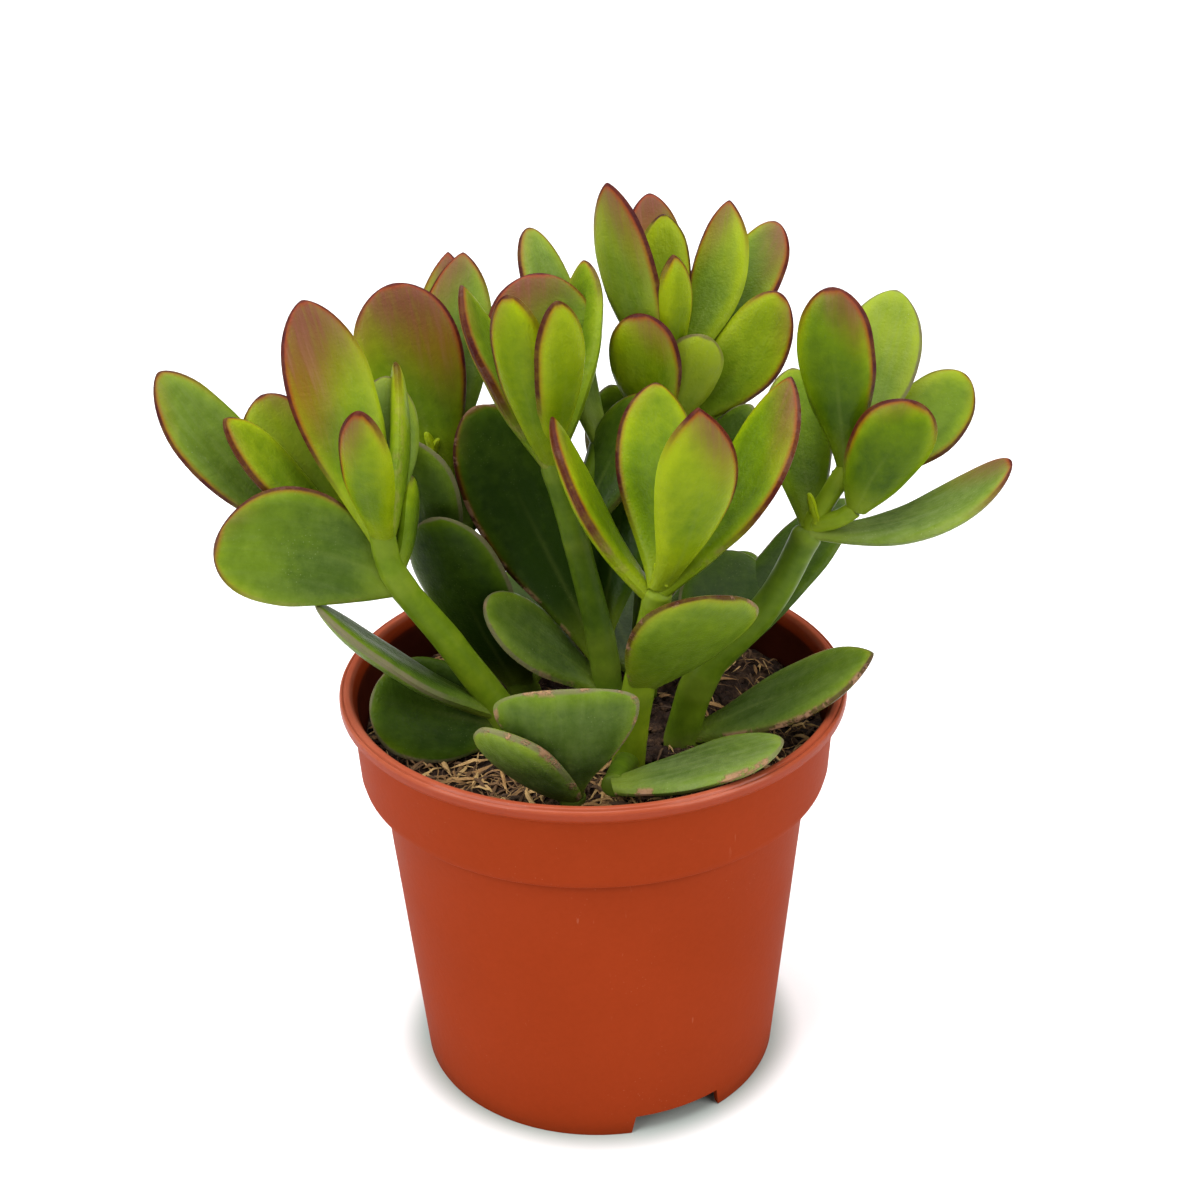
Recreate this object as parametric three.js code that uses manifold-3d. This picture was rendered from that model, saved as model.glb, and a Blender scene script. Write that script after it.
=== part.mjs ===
// A potted jade plant: seven rooted leafy stems standing in the soil of a 12 cm plastic
// nursery pot. Millimetres, +Z up. The origin is the centre of the pot's underside, and the
// pot's front faces -Y.

import * as THREE from 'three';
import { mergeVertices } from 'three/addons/utils/BufferGeometryUtils.js';
import Module from 'manifold-3d';

const wasm = await Module();
wasm.setup();

// ---- driving dimensions ----------------------------------------------------------------

const POT_HEIGHT = 102;
const RIM_RADIUS = 60;            // a 12 cm nursery pot, measured over its rolled rim
const RIM_ROLL = 2.6;             // how wide the rolled rim is, seen from above
const BAND_RADIUS = 57.2;         // the collar under the rim
const BAND_FOOT_RADIUS = 56.2;    // the same collar where it ends
const BAND_FOOT_HEIGHT = 81.5;
const WALL_TOP_RADIUS = 51.3;     // the tapered wall, just under the collar
const WALL_TOP_HEIGHT = 78.2;
const BASE_RADIUS = 44;
const WALL = 1.3;                 // wall thickness
const FLOOR_HEIGHT = 6;           // underside of the raised floor
const FLOOR_THICKNESS = 1.6;
const POT_SIDES = 48;

const NOTCH_COUNT = 3;            // openings in the foot ring, for drainage
const NOTCH_HEIGHT = 5.2;
const NOTCH_HALF_ANGLE = 16;      // degrees, half the notch's width seen from the pot's axis
const NOTCH_FIRST = -65;          // degrees from +X, so the first one shows right of the front

const DRAIN_COUNT = 6;
const DRAIN_RADIUS = 4;
const DRAIN_RING = 28;

const SOIL_HEIGHT = 89;           // the soil's mean level, 13 mm under the rim
const SOIL_RIPPLE = 1.2;          // how far its clods stand up and dip
const GAP = 0.3;                  // between parts that touch
const STEM_FOOT = 66;             // where the stems' feet stand, below the soil's surface

const LEAF_THICKNESS = 5;
const ROOT_HALF_WIDTH = 2.6;      // a leaf's narrow base, where it clasps the stem
const ROOT_HALF_THICKNESS = 1.8;
const WIDEST_AT = 0.62;           // a jade leaf is broadest past its middle
const CUPPING = 0.1;              // how much the margins rise above the middle
const LEAF_SIDES = 8;
const LEAF_STEPS = 8;
const STEM_SIDES = 8;
const STEM_STEPS = 9;

// ---- the plant's plan ------------------------------------------------------------------

// A stem is one or more shoots, and each shoot has its course (points in mm), its radius at
// the foot and at the tip, and its leaves. A leaf is written as
//   [along, azimuth, rise, length, width, twist, bow, sway, root, tip]
// along:   where it grows on the shoot's course, from 0 at the foot to 1 at the tip
// azimuth: the way it points, in degrees from +X, seen from above
// rise:    its angle above the horizontal, in degrees
// twist:   the turn of the blade about its own length; at 0 its margins are level
// bow:     how far the middle of the blade bends out to its underside, in mm
// sway:    how far the middle bends sideways, in mm
// root:    the shape of the blade near its base, from 1 for full to 3 for a slender stalk
// tip:     the shape of its end, from -1 for a blunt fan through 0 for round to 1 for pointed
const LEAFY_STEMS = [
  {
    name: 'stem_left',
    shoots: [
      {
        course: [[-14, -14, STEM_FOOT], [-15, -14, 88], [-31, -16, 118], [-43, -19, 138],
          [-46, -19, 152]],
        radius: [4.2, 2.6],
        leaves: [
          [0.32, 180, 15, 34, 24, -57, 2, 0, 1.2, 0],
          [0.35, -170, 39, 53, 15, 5, 3, 0, 1.7, 0.2],
          [0.72, -172, 19, 42, 26, -72, 1.5, -3.2, 1.0, 0],
          [0.76, 80, 42, 24, 16, -75, 1, 0, 1.7, 0.3],
          [0.88, 84, 54, 42, 15, -76, 2, 1.5, 1.7, 0.5],
          [0.89, 130, 63, 56, 19, -20, 2, 0, 1.4, 0.25],
          [0.92, -95, 67, 39, 11.5, -8, 2, 0, 1.7, 0.1],
          [0.94, 87, 52, 36, 15, 22, 1.5, 0, 1.7, 0.2],
        ],
      },
      {
        course: [[-40, -18, 134], [-49, -13, 139], [-56, -10, 142]],
        radius: [2.6, 2.2],
        leaves: [
          [0.82, 145, 54, 40, 19, -35, 1.5, 2, 1.3, 0.1],
          [0.84, -169, 54, 42, 12.5, -35, 2, -1.5, 1.7, 0.4],
          [1.00, 171, 46, 55, 16, -50, 1.5, 3, 1.7, 0.2],
        ],
      },
    ],
  },
  {
    name: 'stem_back_left',
    shoots: [
      {
        course: [[-14, 8, STEM_FOOT], [-15, 8, 88], [-24, 10, 110], [-32, 12, 128], [-36, 17, 150]],
        radius: [4.0, 2.6],
        leaves: [
          [0.30, -156, 67, 56, 21, 55, 1.5, 0, 1.2, -0.3],
          [0.32, 85, 25, 40, 22, 0, 2, 0, 1.2, 0],
          [0.74, -141, 71, 36, 18, 35, 2, -1, 1.5, 0.3],
          [0.66, 150, 55, 30, 20, 0, 2, 0, 1.4, 0.2],
          [0.78, 60, 52, 36, 20, 0, 2, 0, 1.7, 0.2],
          [0.90, 124, 70, 52, 25, -25, 1.5, 0, 1.3, -0.15],
          [0.92, 87, 52, 60, 15, -5, 1.5, 0, 1.7, 0.6],
          [0.95, 80, 52, 57, 17.5, 0, 1.5, 0, 1.7, 0.5],
        ],
      },
    ],
  },
  {
    name: 'stem_middle',
    shoots: [
      {
        course: [[1, -1, STEM_FOOT], [2, -2, 88], [3, -3, 106], [-3, 0, 136], [-9, 2, 158]],
        radius: [4.2, 2.6],
        leaves: [
          [0.42, -174, 43, 38, 16, -35, 1.5, 0, 1.7, 0],
          [0.50, 145, 58, 68, 24, -45, 1.5, 0, 1.7, -0.1],
          [0.56, 64, 66, 48, 17, -4, 1.5, 0, 1.7, 0.2],
          [0.76, 37, 58, 37, 17, 9, 1.5, 0, 1.7, 0.3],
          [0.96, 149, 60, 46, 14, 12, 2, 0, 1.7, 0.8],
          [0.97, -141, 76, 44, 13, 35, 2, 0, 1.7, 0],
          [0.98, 76, 47, 50, 16.5, -40, 2, -1.2, 1.0, 0.3],
          [0.98, 95, 56, 44, 26, 5, 2, 0, 1.7, 0],
          [1.00, -76, 73, 42, 12, 15, 2, 0.8, 1.7, 0.1],
        ],
      },
      {
        course: [[-4, 1, 140], [0, 7, 149], [3, 13, 156]],
        radius: [2.4, 2.2],
        leaves: [
          [1.00, 111, 40, 60, 13, 5, 1.5, 0, 1.7, -0.1],
        ],
      },
    ],
  },
  {
    name: 'stem_front',
    shoots: [
      {
        course: [[7, -21, STEM_FOOT], [7.5, -22, 88], [10, -24, 110], [13, -26, 128],
          [15, -28, 139]],
        radius: [4.2, 2.9],
        leaves: [
          [0.52, -37, 52, 38, 29.5, -28, 0.5, 0, 1.1, -0.2],
          [0.90, 144, 54, 46.3, 16, 26, 3, 0, 1.7, 0.8],
          [0.96, 36, 48, 55.5, 18, 2, 2, -4, 1.7, 0.5],
          [0.98, 89, 52, 47, 18, 15, 2, 0, 2.0, 0.3],
          [1.00, -45, 76, 46, 18, -30, 1.5, 3, 1.7, 0.8],
        ],
      },
      {
        course: [[8, -22, 92.5], [6, -32, 95], [4, -42, 97]],
        radius: [2.8, 2.6],
        leaves: [
          [1.00, 4, 14, 39, 19.5, -5, 1.5, -1, 0.9, 0.2],
        ],
      },
    ],
  },
  {
    name: 'stem_back',
    shoots: [
      {
        course: [[12, 13, STEM_FOOT], [12, 13, 88], [14, 18, 120], [17, 24, 150], [19, 27, 170]],
        radius: [4.0, 2.4],
        leaves: [
          [0.30, 110, 20, 42, 23, 0, 2, 0, 1.2, 0],
          [0.34, 40, 24, 40, 20, 0, 2, 0, 1.2, 0],
          [0.52, 6, 58, 46, 15, 35, 2, 0, 1.7, 0.2],
          [0.55, 122, 64, 40, 20, 0, 2, 0, 1.7, 0.2],
          [0.66, 65, 36, 42, 19, 0, 2, 0, 1.7, 0.2],
          [0.77, -136, 77, 34, 16.5, 35, 2, 0, 1.7, -0.1],
          [0.80, 15, 45, 42, 16.5, 60, 1.5, -3.5, 1.7, 0],
          [0.80, -15, 66, 26, 14, -75, 1, 0, 1.4, -0.1],
          [0.89, -172, 76, 54, 13.5, 60, 2, 0, 2.2, 0.4],
          [0.94, 50, 33, 52, 16, 10, 2, -2.5, 1.7, 0],
          [0.94, 54, 54, 46, 13.5, 10, 2, -3.2, 1.7, 0.5],
          [0.97, -68, 83, 30, 9.5, 10, 1.5, 0, 1.7, 0.5],
          [0.98, 93, 74, 36, 13, 10, 2, 0, 1.7, 0.3],
          [0.98, 97, 52, 44, 14, -3, 2, 0, 1.7, 0.2],
          [1.00, 124, 69, 28, 9, -20, 1, 0, 1.7, 0.3],
        ],
      },
    ],
  },
  {
    name: 'stem_right',
    shoots: [
      {
        course: [[20, -10, STEM_FOOT], [20.5, -10, 88], [26, -10, 108], [40, -9, 124],
          [50, -10, 145]],
        radius: [4.5, 3.2],
        leaves: [
          [0.275, -11, 31, 51, 18, 20, 2, 0, 1.7, 0.6],
          [0.44, 43, 31, 61, 15.5, 15, 2, 2, 1.7, 0.1],
          [0.48, 71, 30, 36, 21, 10, 1, 0, 1.7, 0],
          [0.98, -3, 21, 47, 18, 5, 7, 0, 1.7, -0.2],
          [0.99, 96, 49, 38, 16, 5, 2, 0, 1.7, 0.2],
        ],
      },
      {
        course: [[46, -9.5, 137], [52, -9.5, 149], [57.5, -8, 158]],
        radius: [2.5, 2.1],
        leaves: [
          [0.83, 37, 21, 42, 17, 35, 1.5, -2, 1.7, 0],
          [1.00, 65, 45, 44, 18, 15, 2, 0, 1.7, 0.2],
          [1.00, -175, 83, 42, 16.5, 70, 2, 0, 1.7, -0.1],
        ],
      },
      {
        course: [[50, -10, 145], [55, -12, 147], [59, -13, 150]],
        radius: [2.2, 1.9],
        leaves: [
          [1.00, -25, 64, 30, 17, -75, 1, -1, 1.0, -0.1],
        ],
      },
    ],
  },
  {
    name: 'stem_low_front',
    shoots: [
      {
        course: [[-5, -37, STEM_FOOT], [-5, -37, 86], [-5, -37, 92]],
        radius: [3.2, 2.8],
        leaves: [
          [0.91, -149, 49, 33, 18, 28, 1, 0, 0.8, 0.4],
          [0.99, -94, 73, 34, 31, 5, 2, 0, 1.9, -1],
        ],
      },
    ],
  },
];

// ---- solids ----------------------------------------------------------------------------

const rad = THREE.MathUtils.degToRad;

// A closed three.js geometry as a solid that can be joined and cut.
function toSolid(geometry) {
  const bare = geometry.index ? geometry.toNonIndexed() : geometry.clone();
  bare.deleteAttribute('normal');
  bare.deleteAttribute('uv');
  const merged = mergeVertices(bare, 1e-4);
  const triangles = [];
  const corners = merged.index.array;
  for (let i = 0; i < corners.length; i += 3) {
    const [a, b, c] = [corners[i], corners[i + 1], corners[i + 2]];
    if (a !== b && b !== c && a !== c) triangles.push(a, b, c);
  }
  const mesh = new wasm.Mesh({
    numProp: 3,
    vertProperties: new Float32Array(merged.getAttribute('position').array),
    triVerts: new Uint32Array(triangles),
  });
  return new wasm.Manifold(mesh);
}

// A solid back as a geometry. Only its largest body is kept: a hollow that joining has
// closed in is filled, and a loose scrap is dropped.
function toGeometry(solid) {
  const bodies = solid.decompose();
  bodies.sort((a, b) => b.volume() - a.volume());
  const mesh = bodies[0].getMesh();
  const points = new Float32Array(mesh.numVert * 3);
  for (let i = 0; i < mesh.numVert; i += 1) {
    points.set(mesh.vertProperties.subarray(i * mesh.numProp, i * mesh.numProp + 3), i * 3);
  }
  const geometry = new THREE.BufferGeometry();
  geometry.setAttribute('position', new THREE.BufferAttribute(points, 3));
  geometry.setIndex(new THREE.BufferAttribute(new Uint32Array(mesh.triVerts), 1));
  geometry.computeVertexNormals();
  return geometry;
}

// A solid of revolution about Z, from a profile of [radius, height] points.
function turned(profile, sides) {
  const points = profile.map(([r, z]) => new THREE.Vector2(r, z));
  return new THREE.LatheGeometry(points, sides).rotateX(Math.PI / 2);
}

// An upright cylinder between two heights.
function post(x, y, radius, low, high, sides) {
  const geometry = new THREE.CylinderGeometry(radius, radius, high - low, sides);
  return geometry.rotateX(Math.PI / 2).translate(x, y, (low + high) / 2);
}

// ---- pot -------------------------------------------------------------------------------

const innerWallTop = WALL_TOP_RADIUS - WALL;
const innerBase = BASE_RADIUS - WALL;
const floorTop = FLOOR_HEIGHT + FLOOR_THICKNESS;

// The radius of the pot's inside at a height on its tapered wall.
function innerRadius(z) {
  return innerBase + (innerWallTop - innerBase) * (z / WALL_TOP_HEIGHT);
}

// One notch in the foot ring: a wedge wider at the bottom, cut through the ring.
function notch(angle) {
  const half = BASE_RADIUS * Math.sin(rad(NOTCH_HALF_ANGLE));
  const outline = new THREE.Shape([
    new THREE.Vector2(-half, -1),
    new THREE.Vector2(half, -1),
    new THREE.Vector2(half - 1.2, NOTCH_HEIGHT),
    new THREE.Vector2(-half + 1.2, NOTCH_HEIGHT),
  ]);
  const wedge = new THREE.ExtrudeGeometry(outline, { depth: 20, bevelEnabled: false });
  return wedge.rotateX(Math.PI / 2).translate(0, -BASE_RADIUS + 14, 0)
    .rotateZ(rad(angle + 90));
}

function pot() {
  const rimMiddle = RIM_RADIUS - RIM_ROLL / 2;
  const profile = [
    [0, FLOOR_HEIGHT],
    [innerBase - 0.4, FLOOR_HEIGHT],
    [innerBase - 0.4, 0],
    [BASE_RADIUS, 0],
    [WALL_TOP_RADIUS, WALL_TOP_HEIGHT],
    [WALL_TOP_RADIUS + 2.9, WALL_TOP_HEIGHT + 0.5],
    [BAND_FOOT_RADIUS - 0.5, BAND_FOOT_HEIGHT - 1.9],
    [BAND_FOOT_RADIUS, BAND_FOOT_HEIGHT],
    [BAND_RADIUS, POT_HEIGHT - 4],
    [rimMiddle + 0.7, POT_HEIGHT - 3.8],
    [RIM_RADIUS, POT_HEIGHT - 2.6],
    [RIM_RADIUS, POT_HEIGHT - 1.2],
    [RIM_RADIUS - 0.6, POT_HEIGHT - 0.2],
    [rimMiddle, POT_HEIGHT],
    [RIM_RADIUS - RIM_ROLL, POT_HEIGHT - 0.4],
    [BAND_RADIUS - WALL - 0.1, POT_HEIGHT - 3],
    [BAND_FOOT_RADIUS - WALL, BAND_FOOT_HEIGHT],
    [BAND_FOOT_RADIUS - WALL - 0.8, BAND_FOOT_HEIGHT - 1.2],
    [innerWallTop, WALL_TOP_HEIGHT + 1],
    [innerRadius(floorTop + 2), floorTop + 2],
    [innerRadius(floorTop) - 2, floorTop],
    [0, floorTop],
  ];
  let solid = toSolid(turned(profile, POT_SIDES));
  for (let i = 0; i < NOTCH_COUNT; i += 1) {
    solid = solid.subtract(toSolid(notch(NOTCH_FIRST + (360 / NOTCH_COUNT) * i)));
  }
  for (let i = 0; i < DRAIN_COUNT; i += 1) {
    const turn = rad((360 / DRAIN_COUNT) * i);
    const hole = post(DRAIN_RING * Math.cos(turn), DRAIN_RING * Math.sin(turn), DRAIN_RADIUS,
      FLOOR_HEIGHT - 1, floorTop + 1, 12);
    solid = solid.subtract(toSolid(hole));
  }
  return solid;
}

// ---- soil ------------------------------------------------------------------------------

// The height of the soil's rough surface above its mean level.
function clods(x, y) {
  const waves = Math.sin(x * 0.31 + 1.7) * Math.cos(y * 0.27 - 0.6)
    + 0.6 * Math.sin(x * 0.53 - y * 0.44 + 2.1);
  return (SOIL_RIPPLE * waves) / 1.6;
}

function soil() {
  const edge = BAND_FOOT_RADIUS - WALL - GAP;
  const low = floorTop + GAP;
  const rings = [54, 48, 40, 32, 24, 16, 8];
  const profile = [
    [0, low],
    [innerRadius(floorTop) - 2 - GAP, low],
    [innerRadius(floorTop + 2) - GAP, floorTop + 2 + GAP],
    [innerWallTop - GAP, WALL_TOP_HEIGHT + 1],
    [edge - 0.8, BAND_FOOT_HEIGHT - 1.2 + GAP],
    [edge, BAND_FOOT_HEIGHT + GAP],
    [edge, SOIL_HEIGHT],
    ...rings.map((r) => [r, SOIL_HEIGHT]),
    [0, SOIL_HEIGHT],
  ];
  const geometry = turned(profile, POT_SIDES / 2);
  const position = geometry.getAttribute('position');
  for (let i = 0; i < position.count; i += 1) {
    const [x, y, z] = [position.getX(i), position.getY(i), position.getZ(i)];
    if (z > SOIL_HEIGHT - 0.1) position.setZ(i, z + clods(x, y));
  }
  let solid = toSolid(geometry);
  // Each stem stands in a plain hole, wide enough for its lean between foot and surface.
  for (const stem of LEAFY_STEMS) {
    const [main] = stem.shoots;
    const reach = courseOf(main).getPoints(60)
      .filter((point) => point.z < SOIL_HEIGHT + 2 * SOIL_RIPPLE);
    const middle = reach[0].clone().add(reach[reach.length - 1]).multiplyScalar(0.5);
    const leans = reach.map(({ x, y }) => Math.hypot(x - middle.x, y - middle.y));
    const radius = main.radius[0] + 3 * GAP + Math.max(...leans);
    const hole = post(middle.x, middle.y, radius, STEM_FOOT - GAP, SOIL_HEIGHT + 8, 16);
    solid = solid.subtract(toSolid(hole));
  }
  return solid;
}

// ---- leafy stems -----------------------------------------------------------------------

// The half width of a blade, at s from 0 at its base to 1 at its tip.
function halfWidth(s, width, root, tip) {
  if (s <= 0 || s >= 1) return 0;
  const widest = WIDEST_AT + 0.22 * Math.max(0, -tip);
  if (s < widest) {
    const swell = Math.sin((Math.PI / 2) * (s / widest)) ** root;
    return ROOT_HALF_WIDTH + (width / 2 - ROOT_HALF_WIDTH) * swell;
  }
  const power = 0.54 + 0.46 * Math.max(0, tip) + 0.04 * Math.min(0, tip);
  return (width / 2) * (1 - ((s - widest) / (1 - widest)) ** 2.3) ** power;
}

function halfThickness(s) {
  if (s <= 0 || s >= 1) return 0;
  const swell = Math.sin((Math.PI / 2) * Math.min(1, s / 0.45)) ** 1.2;
  const full = ROOT_HALF_THICKNESS + (LEAF_THICKNESS / 2 - ROOT_HALF_THICKNESS) * swell;
  return full * Math.sqrt(1 - s ** 5);
}

const rounded = (value, power) => Math.sign(value) * Math.abs(value) ** power;

// A fleshy leaf: a sphere whose poles are the leaf's base and tip, drawn out to its outline.
function leaf(base, [, azimuth, rise, length, width, twist, bow, sway, root, tip]) {
  const [a, r, t] = [rad(azimuth), rad(rise), rad(twist)];
  const along = new THREE.Vector3(Math.cos(a), Math.sin(a), Math.tan(r)).normalize();
  const level = new THREE.Vector3(-Math.sin(a), Math.cos(a), 0);
  const upper = new THREE.Vector3().crossVectors(along, level);
  const across = level.clone().multiplyScalar(Math.cos(t)).addScaledVector(upper, Math.sin(t));
  const face = new THREE.Vector3().crossVectors(along, across);

  const geometry = new THREE.SphereGeometry(1, LEAF_SIDES, LEAF_STEPS);
  const position = geometry.getAttribute('position');
  const ball = new THREE.Vector3();
  const point = new THREE.Vector3();
  for (let i = 0; i < position.count; i += 1) {
    ball.fromBufferAttribute(position, i);
    const s = THREE.MathUtils.clamp((1 - ball.y) / 2, 0, 1);
    const turn = Math.atan2(ball.z, ball.x);
    const x = halfWidth(s, width, root, tip) * rounded(Math.cos(turn), 0.8);
    const lens = halfThickness(s) * rounded(Math.sin(turn), 0.9);
    const bend = 4 * s * (1 - s);
    const z = lens + (CUPPING * x * x) / (width / 2) - bow * bend;
    point.copy(base).addScaledVector(along, length * s)
      .addScaledVector(across, x + sway * bend).addScaledVector(face, z);
    position.setXYZ(i, point.x, point.y, point.z);
  }
  return toSolid(geometry);
}

function courseOf(shoot) {
  const points = shoot.course.map(([x, y, z]) => new THREE.Vector3(x, y, z));
  return new THREE.CatmullRomCurve3(points, false, 'catmullrom', 0.5);
}

// A shoot: a cylinder bent along its course and tapered to its tip.
function shootSolid(shoot) {
  const course = courseOf(shoot);
  const [foot, tip] = shoot.radius;
  const geometry = new THREE.CylinderGeometry(1, 1, 1, STEM_SIDES, STEM_STEPS);
  const position = geometry.getAttribute('position');
  const side = new THREE.Vector3();
  const front = new THREE.Vector3();
  for (let i = 0; i < position.count; i += 1) {
    const t = THREE.MathUtils.clamp(position.getY(i) + 0.5, 0, 1);
    const centre = course.getPoint(t);
    const heading = course.getTangent(t);
    side.crossVectors(heading, new THREE.Vector3(0, 1, 0)).normalize();
    front.crossVectors(side, heading);
    const radius = foot + (tip - foot) * t;
    centre.addScaledVector(side, radius * position.getX(i))
      .addScaledVector(front, radius * position.getZ(i));
    position.setXYZ(i, centre.x, centre.y, centre.z);
  }
  return toSolid(geometry);
}

// A leafy stem: its shoots and all their leaves, grown together as one body.
function leafyStem(stem) {
  let solid = null;
  for (const shoot of stem.shoots) {
    const course = courseOf(shoot);
    const pieces = [shootSolid(shoot)];
    for (const plan of shoot.leaves) pieces.push(leaf(course.getPoint(plan[0]), plan));
    for (const piece of pieces) solid = solid ? solid.add(piece) : piece;
  }
  return solid;
}

// ---- assembly --------------------------------------------------------------------------

const terracottaPlastic = new THREE.MeshStandardMaterial({
  color: 0xb04522,
  roughness: 0.5,
  metalness: 0,
});
const darkSoil = new THREE.MeshStandardMaterial({
  color: 0x3a2a20,
  roughness: 0.95,
  metalness: 0,
});
const jadeGreen = new THREE.MeshStandardMaterial({
  color: 0x6f9a2a,
  roughness: 0.4,
  metalness: 0,
});

const pottedPlant = new THREE.Group();

function place(name, solid, material) {
  const mesh = new THREE.Mesh(toGeometry(solid), material);
  mesh.name = name;
  pottedPlant.add(mesh);
}

place('pot', pot(), terracottaPlastic);
place('soil', soil(), darkSoil);
for (const stem of LEAFY_STEMS) place(stem.name, leafyStem(stem), jadeGreen.clone());

export default pottedPlant;
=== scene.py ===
# %% [markdown]
# # A potted jade plant
#
# A jade plant is a succulent: thick oval leaves in pairs on fleshy stems, here rooted in a plain
# plastic nursery pot. The sizes come from a frame that is loaded first. It holds a plain solid
# for each piece, already in its place. Each lesson below builds a finer piece on one of them.
#
# The meshes are drawn in millimetres, because that is how a pot or a leaf is measured, and are
# brought to metres when a piece is finished.

# %% Load the frame
import math
import random
from types import SimpleNamespace

import bmesh
import bpy
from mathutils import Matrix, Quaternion, Vector, noise


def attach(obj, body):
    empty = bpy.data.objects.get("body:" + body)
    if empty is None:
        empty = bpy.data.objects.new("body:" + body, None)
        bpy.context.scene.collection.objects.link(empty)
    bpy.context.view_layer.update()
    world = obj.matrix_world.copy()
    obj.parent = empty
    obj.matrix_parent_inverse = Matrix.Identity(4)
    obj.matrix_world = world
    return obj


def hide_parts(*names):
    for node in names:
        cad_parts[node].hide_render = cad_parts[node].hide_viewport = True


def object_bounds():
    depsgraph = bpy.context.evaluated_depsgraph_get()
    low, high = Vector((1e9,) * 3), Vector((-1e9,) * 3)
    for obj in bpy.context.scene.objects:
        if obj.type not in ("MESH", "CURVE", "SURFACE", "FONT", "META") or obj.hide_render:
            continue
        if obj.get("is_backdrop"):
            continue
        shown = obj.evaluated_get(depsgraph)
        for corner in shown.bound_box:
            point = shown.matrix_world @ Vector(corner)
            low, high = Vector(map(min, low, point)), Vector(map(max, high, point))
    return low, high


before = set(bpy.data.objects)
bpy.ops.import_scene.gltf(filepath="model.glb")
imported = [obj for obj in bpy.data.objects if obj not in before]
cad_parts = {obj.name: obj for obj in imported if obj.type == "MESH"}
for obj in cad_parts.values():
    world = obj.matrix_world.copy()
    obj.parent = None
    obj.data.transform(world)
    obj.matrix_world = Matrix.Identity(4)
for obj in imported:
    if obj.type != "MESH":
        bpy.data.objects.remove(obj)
cad_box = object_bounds()
MM = 0.001
print("the frame's solids:", ", ".join(sorted(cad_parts)))

# %% [markdown]
# ## The camera
#
# The camera comes first, because every later look is judged through it. The photograph was taken
# from a little above the plant, so that the rim of the pot shows as an ellipse. How flat that
# ellipse is gives the camera's angle, and how much narrower the base looks than the rim gives
# its distance. The picture also leans by about one degree, which is a roll about the line of
# sight.

# %% Make the camera
CAMERA_ELEVATION = math.radians(26.8)
CAMERA_DISTANCE = 489.0                     # mm, from the point that it looks at
CAMERA_TARGET = Vector((2.0, 0.0, 121.9))
CAMERA_ROLL = math.radians(-1.08)
CAMERA_LENS = 63.0                          # mm, on a sensor 36 mm wide

back = Vector((0.0, -math.cos(CAMERA_ELEVATION), math.sin(CAMERA_ELEVATION)))
camera = bpy.data.objects.new("camera", bpy.data.cameras.new("camera"))
camera.data.sensor_width = 36.0
camera.data.lens = CAMERA_LENS
camera.data.clip_start = 0.01
camera.location = (CAMERA_TARGET + back * CAMERA_DISTANCE) * MM
camera.rotation_mode = "QUATERNION"
camera.rotation_quaternion = Quaternion(back, CAMERA_ROLL) @ (-back).to_track_quat("-Z", "Y")
bpy.context.scene.collection.objects.link(camera)
bpy.context.scene.camera = camera
print("camera at", [round(value, 3) for value in camera.location])

# %% [markdown]
# ## Floor and light
#
# The plant stands on pale card in a bright studio. One very large soft box hangs overhead, and one
# stands at either side of the camera, as for most shop photographs, which is why both flanks of
# the pot are a little brighter than its front. The white world only fills in, because more of
# it would lay a grey sheen on every leaf, and its strength is set in the last lesson but one.
# There is just more light on the card than the picture can show, so it comes out white except
# for the soft shadow round the pot's foot. The floor is one flat square, and it isn't part of
# the plant.

# %% Make the floor and the lights
FLOOR_HALF = 3.0        # metres
SOFT_BOXES = {          # place, aim and size in metres, power in watts
    "overhead_box": ((-0.1, 0.25, 2.0), (-0.05, 0.1, 0.0), 2.6, 94.0),
    "left_box": ((-1.35, -1.0, 1.15), (0.0, 0.0, 0.12), 1.4, 37.0),
    "right_box": ((1.4, -0.9, 1.0), (0.0, 0.0, 0.10), 1.4, 31.0),
}


def soft_panel(name, place, aim, size, power):
    """A square area light of the given size in metres, aimed at a point."""
    light = bpy.data.lights.new(name, "AREA")
    light.size = size
    light.energy = power
    panel = bpy.data.objects.new(name, light)
    panel.location = place
    panel.rotation_mode = "QUATERNION"
    panel.rotation_quaternion = (Vector(aim) - Vector(place)).to_track_quat("-Z", "Y")
    bpy.context.scene.collection.objects.link(panel)


world = bpy.data.worlds.new("studio")
bpy.context.scene.world = world
world.use_nodes = True
world.node_tree.nodes["Background"].inputs["Color"].default_value = (1.0, 1.0, 1.0, 1.0)
for box_name, (box_place, box_aim, box_size, box_power) in SOFT_BOXES.items():
    soft_panel(box_name, box_place, box_aim, box_size, box_power)
bpy.context.scene.view_settings.view_transform = "Standard"

floor_bm = bmesh.new()
bmesh.ops.create_grid(floor_bm, x_segments=1, y_segments=1, size=FLOOR_HALF)
floor_mesh = bpy.data.meshes.new("floor")
floor_bm.to_mesh(floor_mesh)
floor_bm.free()
floor = bpy.data.objects.new("floor", floor_mesh)
bpy.context.scene.collection.objects.link(floor)
floor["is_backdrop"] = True
print("floor and", len(bpy.data.lights), "light panels")

# %% [markdown]
# ## Small tools for materials
#
# A procedural material is a chain of nodes. These helpers add one node each and return the
# socket that the next one needs, so that a material reads like a recipe. A value is either a
# plain number or colour, or the output of an earlier node.

# %% Helpers for nodes


def fill(tree, socket, value):
    """Link a socket to an output, or give it a plain value."""
    if isinstance(value, bpy.types.NodeSocket):
        tree.links.new(value, socket)
    else:
        socket.default_value = value


def fill_all(tree, node, **values):
    """Fill or link a node's sockets by name."""
    for name, value in values.items():
        fill(tree, node.inputs[name.replace("_", " ")], value)


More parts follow.
